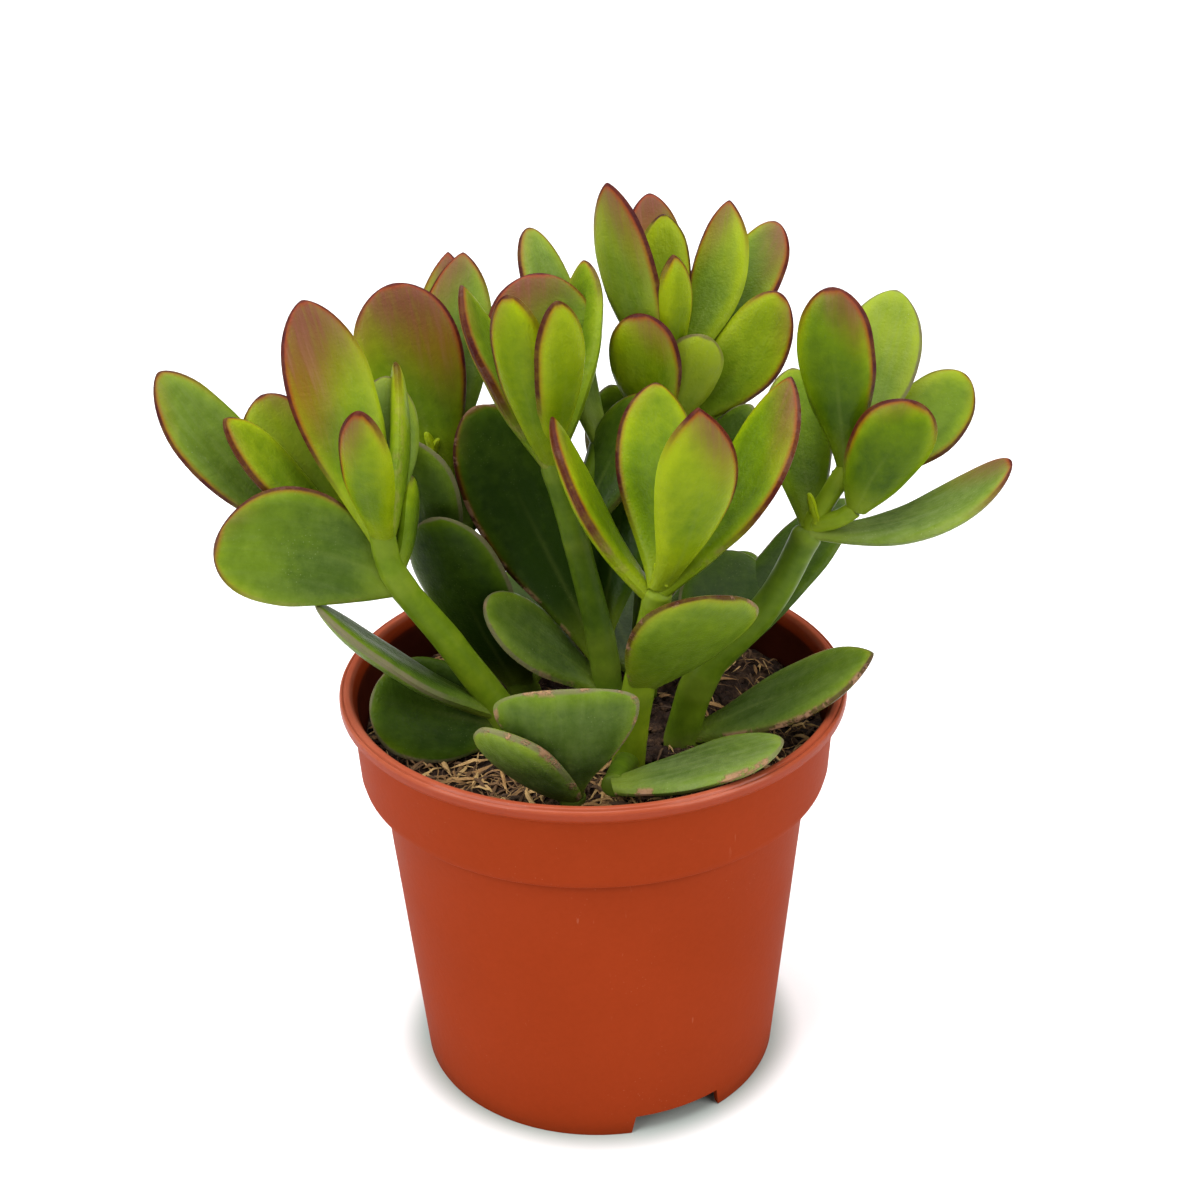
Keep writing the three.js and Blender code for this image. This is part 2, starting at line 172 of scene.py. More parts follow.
def put(tree, kind, options=None, **values):
    """Add a node, set its options, and fill or link its sockets by name."""
    made = tree.nodes.new("ShaderNode" + kind)
    for option, value in (options or {}).items():
        setattr(made, option, value)
    fill_all(tree, made, **values)
    return made


# %% Helpers for numbers and masks


def sums(tree, operation, *values):
    """One step of arithmetic."""
    made = tree.nodes.new("ShaderNodeMath")
    made.operation = operation
    for socket, value in zip(made.inputs, values):
        fill(tree, socket, value)
    return made.outputs[0]


def scaled(tree, value, factor, offset):
    """A value times a factor, plus an offset."""
    return sums(tree, "MULTIPLY_ADD", value, factor, offset)


def product(tree, first, *others):
    """Multiply several values or masks."""
    for other in others:
        first = sums(tree, "MULTIPLY", first, other)
    return first


def fade(tree, value, start, end, low=0.0, high=1.0):
    """A smooth step from low, where value is start, to high, where it is end."""
    made = put(tree, "MapRange", {"interpolation_type": "SMOOTHSTEP"}, Value=value,
               From_Min=start, From_Max=end, To_Min=low, To_Max=high)
    return made.outputs["Result"]


def length_of(tree, vector):
    """How long a vector is."""
    made = put(tree, "VectorMath", {"operation": "LENGTH"})
    fill(tree, made.inputs[0], vector)
    return made.outputs["Value"]


# %% Helpers for colours


def rgb(red, green, blue):
    """A linear colour with full alpha."""
    return (red, green, blue, 1.0)


def blend(tree, factor, first, second):
    """Go from one colour to another."""
    made = put(tree, "Mix", {"data_type": "RGBA"})
    fill(tree, made.inputs[0], factor)
    fill(tree, made.inputs[6], first)       # the sockets named A, for colours
    fill(tree, made.inputs[7], second)      # and B
    return made.outputs[2]


def ramp(tree, factor, stops):
    """A colour ramp with (position, colour) stops."""
    made = put(tree, "ValToRGB", Fac=factor)
    elements = made.color_ramp.elements
    while len(elements) < len(stops):
        elements.new(0.5)
    for element, (position, colour) in zip(elements, stops):
        element.position = position
        element.color = rgb(*colour)
    return made.outputs["Color"]


# %% Helpers for places, noise and relief


def own_place(tree):
    """The Object coordinates, which stay with the piece."""
    return put(tree, "TexCoord").outputs["Object"]


def painted(tree, name):
    """A value that the mesh carries at each of its points."""
    return put(tree, "Attribute", {"attribute_name": name}).outputs["Fac"]


def cloud(tree, place, scale, detail=3.0, roughness=0.55):
    """Soft noise about 0.5, from a place in metres."""
    made = put(tree, "TexNoise", Vector=place, Scale=scale, Detail=detail, Roughness=roughness)
    return made.outputs["Fac"]


def bumps(tree, height, distance, strength=1.0):
    """A Bump node's normal from a height."""
    made = put(tree, "Bump", Height=height, Distance=distance, Strength=strength)
    return made.outputs["Normal"]


def new_material(name):
    """A material with a Principled shader: the material, its tree and its shader."""
    material = bpy.data.materials.new(name)
    material.use_nodes = True
    tree = material.node_tree
    return material, tree, tree.nodes["Principled BSDF"]


# %% [markdown]
# ## Effects that several surfaces share
#
# Two effects turn up again and again, so each is a node group, built once and placed where it
# is needed with its own numbers. **Specks** scatters small dots that come in patches: the pale
# pores of a jade leaf, the dust on a pot, the light crumbs in soil. **Living green** is the
# colour of the plant's flesh. It runs from the blue-black green of an old, shaded leaf to the
# yellow-green of a young one, and it is what makes leaf and stem look like one plant.

# %% Node groups


def new_group(name, inputs, output, output_kind):
    """A node group with its sockets: the tree, its input sockets and its output socket."""
    group = bpy.data.node_groups.new(name, "ShaderNodeTree")
    for label, kind, value in inputs:
        socket = group.interface.new_socket(label, in_out="INPUT", socket_type="NodeSocket" + kind)
        if value is not None:
            socket.default_value = value
    group.interface.new_socket(output, in_out="OUTPUT", socket_type="NodeSocket" + output_kind)
    given = group.nodes.new("NodeGroupInput").outputs
    result = group.nodes.new("NodeGroupOutput").inputs[0]
    return group, given, result


def make_specks():
    """Small dots in patches, as a mask."""
    sockets = [("Place", "Vector", None), ("Scale", "Float", 900.0), ("Size", "Float", 0.25)]
    tree, given, result = new_group("specks", sockets, "Mask", "Float")
    dots = put(tree, "TexVoronoi", Vector=given["Place"], Scale=given["Scale"])
    dot = fade(tree, dots.outputs["Distance"], given["Size"], 0.0)
    patches = cloud(tree, given["Place"], product(tree, given["Scale"], 0.09), 2.0)
    fill(tree, result, product(tree, dot, fade(tree, patches, 0.48, 0.68)))
    return tree


def make_living_green():
    """The flesh's colour, from old to young, with a pale bloom of wax over it."""
    sockets = [("Place", "Vector", None), ("Youth", "Float", 0.5), ("Bloom", "Float", 0.0)]
    tree, given, result = new_group("living green", sockets, "Color", "Color")
    broad = cloud(tree, given["Place"], 55.0)
    fine = cloud(tree, given["Place"], 420.0, 4.0, 0.6)
    uneven = sums(tree, "ADD", scaled(tree, broad, 0.60, -0.30), scaled(tree, fine, 0.30, -0.15))
    flesh = ramp(tree, sums(tree, "ADD", given["Youth"], uneven), [
        (0.0, (0.011, 0.028, 0.001)),
        (0.3, (0.032, 0.064, 0.001)),
        (0.6, (0.084, 0.138, 0.001)),
        (1.0, (0.205, 0.262, 0.003)),
    ])
    waxed = product(tree, given["Bloom"], fade(tree, fine, 0.25, 0.7, 0.45, 0.8))
    fill(tree, result, blend(tree, waxed, flesh, rgb(0.130, 0.170, 0.058)))
    return tree


def use_group(tree, group, **values):
    """Place a node group and return its output."""
    return put(tree, "Group", {"node_tree": group}, **values).outputs[0]


specks = make_specks()
living_green = make_living_green()
print("node groups:", ", ".join(group.name for group in bpy.data.node_groups))

# %% [markdown]
# ## Leaf and stem materials
#
# A jade leaf has no single colour. Its base is pale, its face is mottled, and strong light brings
# out red: a dark line on the margin, a bright glow inside the line, and a plum haze over the
# tip, which is drawn out in streaks along the leaf. An old leaf has a thin grey line instead, and
# in places a corky tan scar. Noise alone can't know where a margin is, so the mesh carries that
# knowledge: every point of a leaf stores how far it is from the margin, where it is along and
# across the leaf, and the age and health of its leaf. The material only reads those values.
#
# The gloss is that of wax: broad and soft. Some light enters the flesh and comes out again,
# which the subsurface setting gives.

# %% What leaf and stem share
LEAF_VALUES = ("along", "across", "inset", "sun", "youth", "blush", "bloom", "scar")
POINT_VALUES = (*LEAF_VALUES, "ring")       # the last one is for the stems


def waxy_flesh(tree, shader):
    """The plain shader settings."""
    fill_all(tree, shader, IOR=1.44, Specular_IOR_Level=0.09, Subsurface_Weight=0.10,
             Subsurface_Radius=(0.35, 0.55, 0.06), Subsurface_Scale=0.003)


print("every point of leaf and stem carries:", ", ".join(POINT_VALUES))

# %% The leaf's green


def leaf_readings(tree):
    """What the leaf material reads: its place, the values of its points, and two noises."""
    leaf = SimpleNamespace(**{name: painted(tree, name) for name in LEAF_VALUES})
    leaf.place = own_place(tree)
    leaf.broken = cloud(tree, leaf.place, 260.0, 4.0, 0.65)
    grain = put(tree, "CombineXYZ", X=product(tree, leaf.across, 6.0),
                Y=product(tree, leaf.along, 2.2), Z=product(tree, leaf.youth, 40.0))
    leaf.streaks = cloud(tree, grain.outputs["Vector"], 1.0, 5.0, 0.65)
    return leaf


def leaf_green(tree, leaf):
    """Mottled green, paler at the base, along the midrib and in the pores."""
    waxed = product(tree, leaf.bloom, fade(tree, leaf.streaks, 0.35, 0.65, 0.5, 1.0))
    paler = sums(tree, "MAXIMUM", fade(tree, leaf.inset, 5.0, 0.3, 0.0, 0.28),
                 fade(tree, leaf.along, 0.4, 0.05, 0.0, 0.25))
    darker = fade(tree, leaf.along, 0.3, 0.9, -0.2, 0.04)
    age = sums(tree, "ADD", leaf.youth, sums(tree, "ADD", paler, darker))
    colour = use_group(tree, living_green, Place=leaf.place, Youth=age, Bloom=waxed)
    pale_base = fade(tree, leaf.along, 0.30, 0.03, 0.0, 0.5)
    colour = blend(tree, pale_base, colour, rgb(0.125, 0.165, 0.010))
    off_midrib = sums(tree, "ABSOLUTE", leaf.across)
    midrib = product(tree, fade(tree, off_midrib, 0.09, 0.0, 0.0, 0.14),
                     fade(tree, leaf.along, 0.8, 0.3))
    colour = blend(tree, midrib, colour, rgb(0.150, 0.190, 0.040))
    pores = use_group(tree, specks, Place=leaf.place, Scale=1300.0, Size=0.22)
    pores = product(tree, pores, scaled(tree, leaf.bloom, 0.8, 0.2))
    return blend(tree, pores, colour, rgb(0.240, 0.270, 0.130))


# %% The leaf's reds


def leaf_haze(tree, leaf, colour):
    """The plum haze over the tip, with a painted sheen over it in streaks."""
    redness = scaled(tree, leaf.sun, 0.3, scaled(tree, leaf.blush, 0.62, leaf.along))
    haze = product(tree, fade(tree, redness, 1.32, 1.76),
                   fade(tree, leaf.streaks, 0.32, 0.68, 0.78, 1.0))
    haze_colour = blend(tree, fade(tree, leaf.along, 0.62, 0.96), rgb(0.145, 0.066, 0.005),
                        rgb(0.118, 0.030, 0.023))
    colour = blend(tree, haze, colour, haze_colour)
    # Painted sheen: a pale colour in streaks over the haze stands in for the soft light that the wax
    # gives back.
    haze_painted_sheen = product(tree, haze, fade(tree, leaf.streaks, 0.46, 0.80, 0.0, 0.36))
    return blend(tree, haze_painted_sheen, colour, rgb(0.225, 0.140, 0.070))


def leaf_margin(tree, leaf, colour):
    """The thin line on the margin, dark red or old grey, and the glow inside a red one."""
    uneven = fade(tree, leaf.broken, 0.2, 0.7, 0.6, 1.0)
    exposed = product(tree, fade(tree, scaled(tree, leaf.sun, 0.6, leaf.along), 0.74, 1.12), uneven)
    glow = product(tree, fade(tree, leaf.inset, 2.1, 0.5), exposed,
                   fade(tree, leaf.blush, 0.1, 0.6, 0.0, 0.9), fade(tree, leaf.along, 0.15, 0.60))
    colour = blend(tree, glow, colour, rgb(0.190, 0.020, 0.003))
    line = product(tree, fade(tree, leaf.inset, 1.10, 0.45), exposed)
    old_line, red_line = rgb(0.120, 0.105, 0.055), rgb(0.035, 0.004, 0.005)
    line_colour = blend(tree, fade(tree, leaf.blush, 0.1, 0.3), old_line, red_line)
    return blend(tree, line, colour, line_colour)


# %% Leaf material


def leaf_cork(tree, leaf):
    """Where the margin has healed over with cork, as a mask."""
    patches = fade(tree, cloud(tree, leaf.place, 130.0, 5.0, 0.7), 0.50, 0.58)
    near_margin = fade(tree, leaf.inset, 1.6, 0.5)
    return product(tree, patches, near_margin, fade(tree, leaf.scar, 0.05, 0.6))


def leaf_relief(tree, leaf, cork):
    """The fine unevenness of the skin, as a normal."""
    grain = cloud(tree, leaf.place, 1500.0, 2.0)
    height = scaled(tree, cloud(tree, leaf.place, 180.0, 3.0), 1.6, grain)
    height = scaled(tree, leaf.streaks, 0.9, height)
    return bumps(tree, scaled(tree, cork, 2.0, height), 0.00022, 0.7)


def make_leaf_material():
    """Jade leaf: mottled green with a coloured margin, a hazed tip and old scars."""
    material, tree, shader = new_material("jade_leaf")
    leaf = leaf_readings(tree)
    colour = leaf_margin(tree, leaf, leaf_haze(tree, leaf, leaf_green(tree, leaf)))
    cork = leaf_cork(tree, leaf)
    cork_colour = blend(tree, leaf.broken, rgb(0.090, 0.036, 0.015), rgb(0.330, 0.200, 0.110))
    rough = scaled(tree, leaf.broken, 0.14, scaled(tree, leaf.bloom, 0.16, 0.26))
    fill_all(tree, shader, Base_Color=blend(tree, cork, colour, cork_colour),
             Roughness=scaled(tree, cork, 0.3, rough), Normal=leaf_relief(tree, leaf, cork))
    waxy_flesh(tree, shader)
    return material


leaf_material = make_leaf_material()
print(leaf_material.name, "has", len(leaf_material.node_tree.nodes), "nodes")

# %% Stem material


def make_stem_material():
    """Jade stem: smooth green flesh, browner towards the soil, pale where leaves clasp it."""
    material, tree, shader = new_material("jade_stem")
    place = own_place(tree)
    ring = painted(tree, "ring")
    streaks = cloud(tree, place, 220.0, 4.0, 0.6)
    colour = use_group(tree, living_green, Place=place, Youth=painted(tree, "youth"),
                       Bloom=painted(tree, "bloom"))
    bark = fade(tree, scaled(tree, streaks, 0.12, painted(tree, "along")), 0.74, 0.66, 0.0, 0.5)
    colour = blend(tree, bark, colour, rgb(0.070, 0.062, 0.026))
    colour = blend(tree, product(tree, ring, 0.25), colour, rgb(0.150, 0.190, 0.020))
    height = scaled(tree, ring, 0.4, streaks)
    fill_all(tree, shader, Base_Color=colour, Roughness=scaled(tree, streaks, 0.16, 0.30),
             Normal=bumps(tree, height, 0.00020, 0.6))
    waxy_flesh(tree, shader)
    return material


stem_material = make_stem_material()
print(stem_material.name, "has", len(stem_material.node_tree.nodes), "nodes")

# %% [markdown]
# ## Finishing a piece
#
# Every piece ends the same way. Its mesh is brought to metres, its faces are turned to point
# outwards, it is shaded smooth except at sharp creases, and it rides on the pot's body. When a
# piece stands for one of the frame's solids, that solid is hidden.
#
# Leaves, crumbs and fibres are each shaped in a small mesh of their own, which is then joined to
# the piece. Shaping them one by one inside a large mesh would be many times slower.

# %% Finish a piece
BODY = "root"
CREASE = math.radians(38.0)


def join(whole, part):
    """Move a small mesh into a larger one, with the values that its points carry."""
    mesh = bpy.data.meshes.new("joining")
    part.to_mesh(mesh)
    part.free()
    whole.from_mesh(mesh)
    bpy.data.meshes.remove(mesh)


def finish_piece(name, bm, materials, replaced=()):
    """Make an object of a mesh drawn in millimetres."""
    bmesh.ops.recalc_face_normals(bm, faces=bm.faces)
    for edge in bm.edges:
        edge.smooth = not edge.is_manifold or edge.calc_face_angle() < CREASE
    for face in bm.faces:
        face.smooth = True
    bmesh.ops.scale(bm, vec=(MM, MM, MM), verts=bm.verts)
    mesh = bpy.data.meshes.new(name)
    bm.to_mesh(mesh)
    bm.free()
    for material in materials:
        mesh.materials.append(material)
    piece = bpy.data.objects.new(name, mesh)
    bpy.context.scene.collection.objects.link(piece)
    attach(piece, BODY)
    if replaced:
        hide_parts(*replaced)
    print(name, "has", sum(len(face.vertices) - 2 for face in mesh.polygons), "triangles")


# %% [markdown]
# ## The plan of the plant
#
# The plant is seven rooted stems. Each stem is one or more shoots, and a shoot is a smooth
# course through a few points, with a radius at its foot and at its tip. The leaves are listed
# where they grow on it. They could be scattered by a rule, but a plant that has to look like one
# in a photograph needs each leaf in its own place. The first ten numbers place and shape a leaf:
#
# along, azimuth, rise, length, width, twist, bow, sway, root, tip
#
# *Along* is where it grows on the course, from foot to tip. *Azimuth* and *rise* aim it, in
# degrees from +X and above the horizon. *Twist* turns the blade about its own length. *Bow* and
# *sway* bend its middle down and sideways, in mm. *Root* says how slender its base is, and *tip*
# how pointed its end, from -1 for a blunt fan to 1 for a point. The last four are its look, from
# 0 for none to about 1 for much, and a minus before the blush puts it on the other margin:
#
# youth, blush, bloom, scar

# %% Plan of the plant
STEM_FOOT = 66.0        # mm, where the stems' feet stand, in the soil

LEAFY_STEMS = {
    "stem_left": [
        {
            "course": [(-14, -14, STEM_FOOT), (-15, -14, 88), (-31, -16, 118), (-43, -19, 138),
                       (-46, -19, 152)],
            "radius": (4.2, 2.6), "youth": 0.60,
            "leaves": [
                (0.32, 180, 15, 34, 24, -57, 2, 0, 1.2, 0, 0.14, 0.0, 0.10, 0.2),
                (0.35, -170, 39, 53, 15, 5, 3, 0, 1.7, 0.2, 0.30, 0.0, 0.25, 0.1),
                (0.72, -172, 19, 42, 26, -72, 1.5, -3.2, 1.0, 0, 0.48, -0.45, 0.30, 0.2),
                (0.76, 80, 42, 24, 16, -75, 1, 0, 1.7, 0.3, 0.50, 0.2, 0.10, 0.0),
                (0.88, 84, 54, 42, 15, -76, 2, 1.5, 1.7, 0.5, 0.60, 0.35, 0.10, 0.2),
                (0.89, 130, 63, 56, 19, -20, 2, 0, 1.4, 0.25, 0.74, 1.18, 0.12, 0.0),
                (0.92, -95, 67, 39, 11.5, -8, 2, 0, 1.7, 0.1, 0.75, -0.8, 0.00, 0.0),
                (0.94, 87, 52, 36, 15, 22, 1.5, 0, 1.7, 0.2, 0.50, 0.2, 0.60, 0.0),
            ],
        },
        {
            "course": [(-40, -18, 134), (-49, -13, 139), (-56, -10, 142)],
            "radius": (2.6, 2.2), "youth": 0.72,
            "leaves": [
                (0.82, 145, 54, 40, 19, -35, 1.5, 2, 1.3, 0.1, 0.85, -0.6, 0.25, 0.0),
                (0.84, -169, 54, 42, 12.5, -35, 2, -1.5, 1.7, 0.4, 0.65, 0.5, 0.10, 0.1),
                (1.00, 171, 46, 55, 16, -50, 1.5, 3, 1.7, 0.2, 0.50, 0.5, 0.45, 0.0),
            ],
        },
    ],
    "stem_back_left": [
        {
            "course": [(-14, 8, STEM_FOOT), (-15, 8, 88), (-24, 10, 110), (-32, 12, 128),
                       (-36, 17, 150)],
            "radius": (4.0, 2.6), "youth": 0.35,
            "leaves": [
                (0.30, -156, 67, 56, 21, 55, 1.5, 0, 1.2, -0.3, 0.10, 0.0, 0.05, 0.0),
                (0.32, 85, 25, 40, 22, 0, 2, 0, 1.2, 0, 0.20, 0.1, 0.20, 0.1),
                (0.74, -141, 71, 36, 18, 35, 2, -1, 1.5, 0.3, 0.30, 0.1, 0.15, 0.0),
                (0.66, 150, 55, 30, 20, 0, 2, 0, 1.4, 0.2, 0.22, 0.2, 0.10, 0.0),
                (0.78, 60, 52, 36, 20, 0, 2, 0, 1.7, 0.2, 0.40, 0.1, 0.10, 0.0),
                (0.90, 124, 70, 52, 25, -25, 1.5, 0, 1.3, -0.15, 0.75, -1.15, 0.10, 0.0),
                (0.92, 87, 52, 60, 15, -5, 1.5, 0, 1.7, 0.6, 0.50, -1.0, 0.20, 0.0),
                (0.95, 80, 52, 57, 17.5, 0, 1.5, 0, 1.7, 0.5, 0.50, 0.8, 0.40, 0.0),
            ],
        },
    ],
    "stem_middle": [
        {
            "course": [(1, -1, STEM_FOOT), (2, -2, 88), (3, -3, 106), (-3, 0, 136), (-9, 2, 158)],
            "radius": (4.2, 2.6), "youth": 0.40,
            "leaves": [
                (0.42, -174, 43, 38, 16, -35, 1.5, 0, 1.7, 0, 0.36, 0.0, 0.35, 0.3),
                (0.50, 145, 58, 68, 24, -45, 1.5, 0, 1.7, -0.1, 0.10, 0.35, 0.05, 0.4),
                (0.56, 64, 66, 48, 17, -4, 1.5, 0, 1.7, 0.2, 0.10, 0.1, 0.00, 0.0),
                (0.76, 37, 58, 37, 17, 9, 1.5, 0, 1.7, 0.3, 0.2, -0.3, 0.10, 0.0),
                (0.96, 149, 60, 46, 14, 12, 2, 0, 1.7, 0.8, 0.55, 0.6, 0.15, 0.2),
                (0.97, -141, 76, 44, 13, 35, 2, 0, 1.7, 0, 0.76, -0.5, 0.00, 0.0),
                (0.98, 76, 47, 50, 16.5, -40, 2, -1.2, 1.0, 0.3, 0.60, 0.5, 0.10, 0.0),
                (0.98, 95, 56, 44, 26, 5, 2, 0, 1.7, 0, 0.44, 0.9, 0.10, 0.0),
                (1.00, -76, 73, 42, 12, 15, 2, 0.8, 1.7, 0.1, 0.85, -0.45, 0.00, 0.0),
            ],
        },
        {
            "course": [(-4, 1, 140), (0, 7, 149), (3, 13, 156)],
            "radius": (2.4, 2.2), "youth": 0.4,
            "leaves": [
                (1.00, 111, 40, 60, 13, 5, 1.5, 0, 1.7, -0.1, 0.5, 0.45, 0.5, 0.0),
            ],
        },
    ],
    "stem_front": [
        {
            "course": [(7, -21, STEM_FOOT), (7.5, -22, 88), (10, -24, 110), (13, -26, 128),
                       (15, -28, 139)],
            "radius": (4.2, 2.9), "youth": 0.68,
            "leaves": [
                (0.52, -37, 52, 38, 29.5, -28, 0.5, 0, 1.1, -0.2, 0.62, -0.3, 0.20, 0.45),
                (0.90, 144, 54, 46.3, 16, 26, 3, 0, 1.7, 0.8, 0.74, 0.6, 0.00, 0.2),
                (0.96, 36, 48, 55.5, 18, 2, 2, -4, 1.7, 0.5, 0.58, -0.8, 0.00, 0.2),
                (0.98, 89, 52, 47, 18, 15, 2, 0, 2.0, 0.3, 0.66, 0.45, 0.00, 0.0),
                (1.00, -45, 76, 46, 18, -30, 1.5, 3, 1.7, 0.8, 0.85, 0.85, 0.00, 0.0),
            ],
        },
        {
            "course": [(8, -22, 92.5), (6, -32, 95), (4, -42, 97)],
            "radius": (2.8, 2.6), "youth": 0.4,
            "leaves": [
                (1.00, 4, 14, 39, 19.5, -5, 1.5, -1, 0.9, 0.2, 0.45, 0.0, 0.9, 0.8),
            ],
        },
    ],
    "stem_back": [
        {
            "course": [(12, 13, STEM_FOOT), (12, 13, 88), (14, 18, 120), (17, 24, 150),
                       (19, 27, 170)],
            "radius": (4.0, 2.4), "youth": 0.45,
            "leaves": [
                (0.30, 110, 20, 42, 23, 0, 2, 0, 1.2, 0, 0.20, 0.0, 0.20, 0.2),
                (0.34, 40, 24, 40, 20, 0, 2, 0, 1.2, 0, 0.20, 0.0, 0.20, 0.0),
                (0.52, 6, 58, 46, 15, 35, 2, 0, 1.7, 0.2, 0.12, 0.0, 0.20, 0.0),
                (0.55, 122, 64, 40, 20, 0, 2, 0, 1.7, 0.2, 0.30, 0.1, 0.10, 0.0),
                (0.66, 65, 36, 42, 19, 0, 2, 0, 1.7, 0.2, 0.35, 0.2, 0.10, 0.0),
                (0.77, -136, 77, 34, 16.5, 35, 2, 0, 1.7, -0.1, 0.78, 0.75, 0.00, 0.0),
                (0.80, 15, 45, 42, 16.5, 60, 1.5, -3.5, 1.7, 0, 0.75, -0.6, 0.10, 0.0),
                (0.80, -15, 66, 26, 14, -75, 1, 0, 1.4, -0.1, 1.0, -0.2, 0.3, 0.0),
                (0.89, -172, 76, 54, 13.5, 60, 2, 0, 2.2, 0.4, 0.78, 0.85, 0.4, 0.0),
                (0.94, 50, 33, 52, 16, 10, 2, -2.5, 1.7, 0, 0.60, -0.8, 0.10, 0.0),
                (0.94, 54, 54, 46, 13.5, 10, 2, -3.2, 1.7, 0.5, 0.73, 0.8, 0.15, 0.0),
                (0.97, -68, 83, 30, 9.5, 10, 1.5, 0, 1.7, 0.5, 0.84, 0.5, 0.00, 0.0),
                (0.98, 93, 74, 36, 13, 10, 2, 0, 1.7, 0.3, 0.85, -0.3, 0.10, 0.0),
                (0.98, 97, 52, 44, 14, -3, 2, 0, 1.7, 0.2, 0.40, 1.15, 0.20, 0.0),
                (1.00, 124, 69, 28, 9, -20, 1, 0, 1.7, 0.3, 0.70, 0.5, 0.10, 0.0),
            ],
        },
    ],
    "stem_right": [
        {
            "course": [(20, -10, STEM_FOOT), (20.5, -10, 88), (26, -10, 108), (40, -9, 124),
                       (50, -10, 145)],
            "radius": (4.5, 3.2), "youth": 0.48,
            "leaves": [
                (0.275, -11, 31, 51, 18, 20, 2, 0, 1.7, 0.6, 0.42, -0.25, 0.45, 0.5),
                (0.44, 43, 31, 61, 15.5, 15, 2, 2, 1.7, 0.1, 0.14, 0.0, 0.15, 0.0),
                (0.48, 71, 30, 36, 21, 10, 1, 0, 1.7, 0, 0.10, 0.1, 0.10, 0.0),
                (0.98, -3, 21, 47, 18, 5, 7, 0, 1.7, -0.2, 0.55, 0.75, 0.8, 0.1),
                (0.99, 96, 49, 38, 16, 5, 2, 0, 1.7, 0.2, 0.50, -0.2, 0.10, 0.0),
            ],
        },
        {
            "course": [(46, -9.5, 137), (52, -9.5, 149), (57.5, -8, 158)],
            "radius": (2.5, 2.1), "youth": 0.75,
            "leaves": [
                (0.83, 37, 21, 42, 17, 35, 1.5, -2, 1.7, 0, 0.60, -0.4, 0.10, 0.0),
                (1.00, 65, 45, 44, 18, 15, 2, 0, 1.7, 0.2, 0.75, -0.15, 0.50, 0.0),
                (1.00, -175, 83, 42, 16.5, 70, 2, 0, 1.7, -0.1, 0.46, 0.75, 0.00, 0.0),
            ],
        },
        {
            "course": [(50, -10, 145), (55, -12, 147), (59, -13, 150)],
            "radius": (2.2, 1.9), "youth": 0.75,
            "leaves": [
                (1.00, -25, 64, 30, 17, -75, 1, -1, 1.0, -0.1, 0.50, -0.55, 0.00, 0.0),
            ],
        },
    ],
    "stem_low_front": [
        {
            "course": [(-5, -37, STEM_FOOT), (-5, -37, 86), (-5, -37, 92)],
            "radius": (3.2, 2.8), "youth": 0.2,
            "leaves": [
                (0.91, -149, 49, 33, 18, 28, 1, 0, 0.8, 0.4, 0.45, 0.0, 0.55, 1.0),
                (0.99, -94, 73, 34, 31, 5, 2, 0, 1.9, -1, 0.30, 0.1, 0.4, 0.5),
            ],
        },
    ],
}
print(len(LEAFY_STEMS), "leafy stems with",
      sum(len(shoot["leaves"]) for stem in LEAFY_STEMS.values() for shoot in stem), "leaves")

# %% [markdown]
# ## One leaf
#
# A leaf starts as a sphere. One pole becomes its base and the other its tip, so the mesh is
# closed from the start and its rings run across the blade, where the shape changes. Each ring
# is then widened to the leaf's outline and flattened to its thickness. The sides are bunched up
# towards the margins, because the thin coloured line there needs fine faces and the broad
# middle doesn't. A little noise keeps any two leaves from being alike.

# %% Outline and thickness of a leaf
LEAF_THICKNESS = 5.0
ROOT_HALF_WIDTH = 2.6       # mm, the narrow base that clasps the stem
ROOT_HALF_THICKNESS = 1.8
WIDEST_AT = 0.62            # of the length: a jade leaf is broadest past its middle
FAN_SHIFT = 0.22            # how much nearer its tip a fan-shaped leaf is broadest
TIP_ROUNDING = 2.3          # how late the outline turns in towards the tip
TIP_POWERS = (0.54, 0.46, 0.04)     # for a plain tip, and what a point adds and a fan takes
THICK_FROM = 0.45           # of the length: from here on the blade has its full thickness
THICKENING = 1.2            # how slowly it gets there
TIP_THINNING = 5            # how late it thins again towards the tip


def half_width(s, width, root, tip):
    """Half the blade's width, at s from 0 at its base to 1 at its tip."""
    if s <= 0.0 or s >= 1.0:
        return 0.0
    widest = WIDEST_AT + FAN_SHIFT * max(0.0, -tip)
    if s < widest:
        swell = math.sin(math.pi / 2 * s / widest) ** root
        return ROOT_HALF_WIDTH + (width / 2 - ROOT_HALF_WIDTH) * swell
    plain, pointed, fanned = TIP_POWERS
    power = plain + pointed * max(0.0, tip) + fanned * min(0.0, tip)
    return width / 2 * (1 - ((s - widest) / (1 - widest)) ** TIP_ROUNDING) ** power


def half_thickness(s, thickness):
    """Half the blade's thickness."""
    if s <= 0.0 or s >= 1.0:
        return 0.0
    root = min(ROOT_HALF_THICKNESS, thickness / 2)
    swell = math.sin(math.pi / 2 * min(1.0, s / THICK_FROM)) ** THICKENING
    return (root + (thickness / 2 - root) * swell) * math.sqrt(1 - s ** TIP_THINNING)


for s in (0.25, 0.5, 0.75):
    print("at", s, "of its length, a leaf 20 mm wide and 5 mm thick is",
          round(2 * half_width(s, 20.0, 1.7, 0.0), 1), "by", round(2 * half_thickness(s, 5.0), 1))

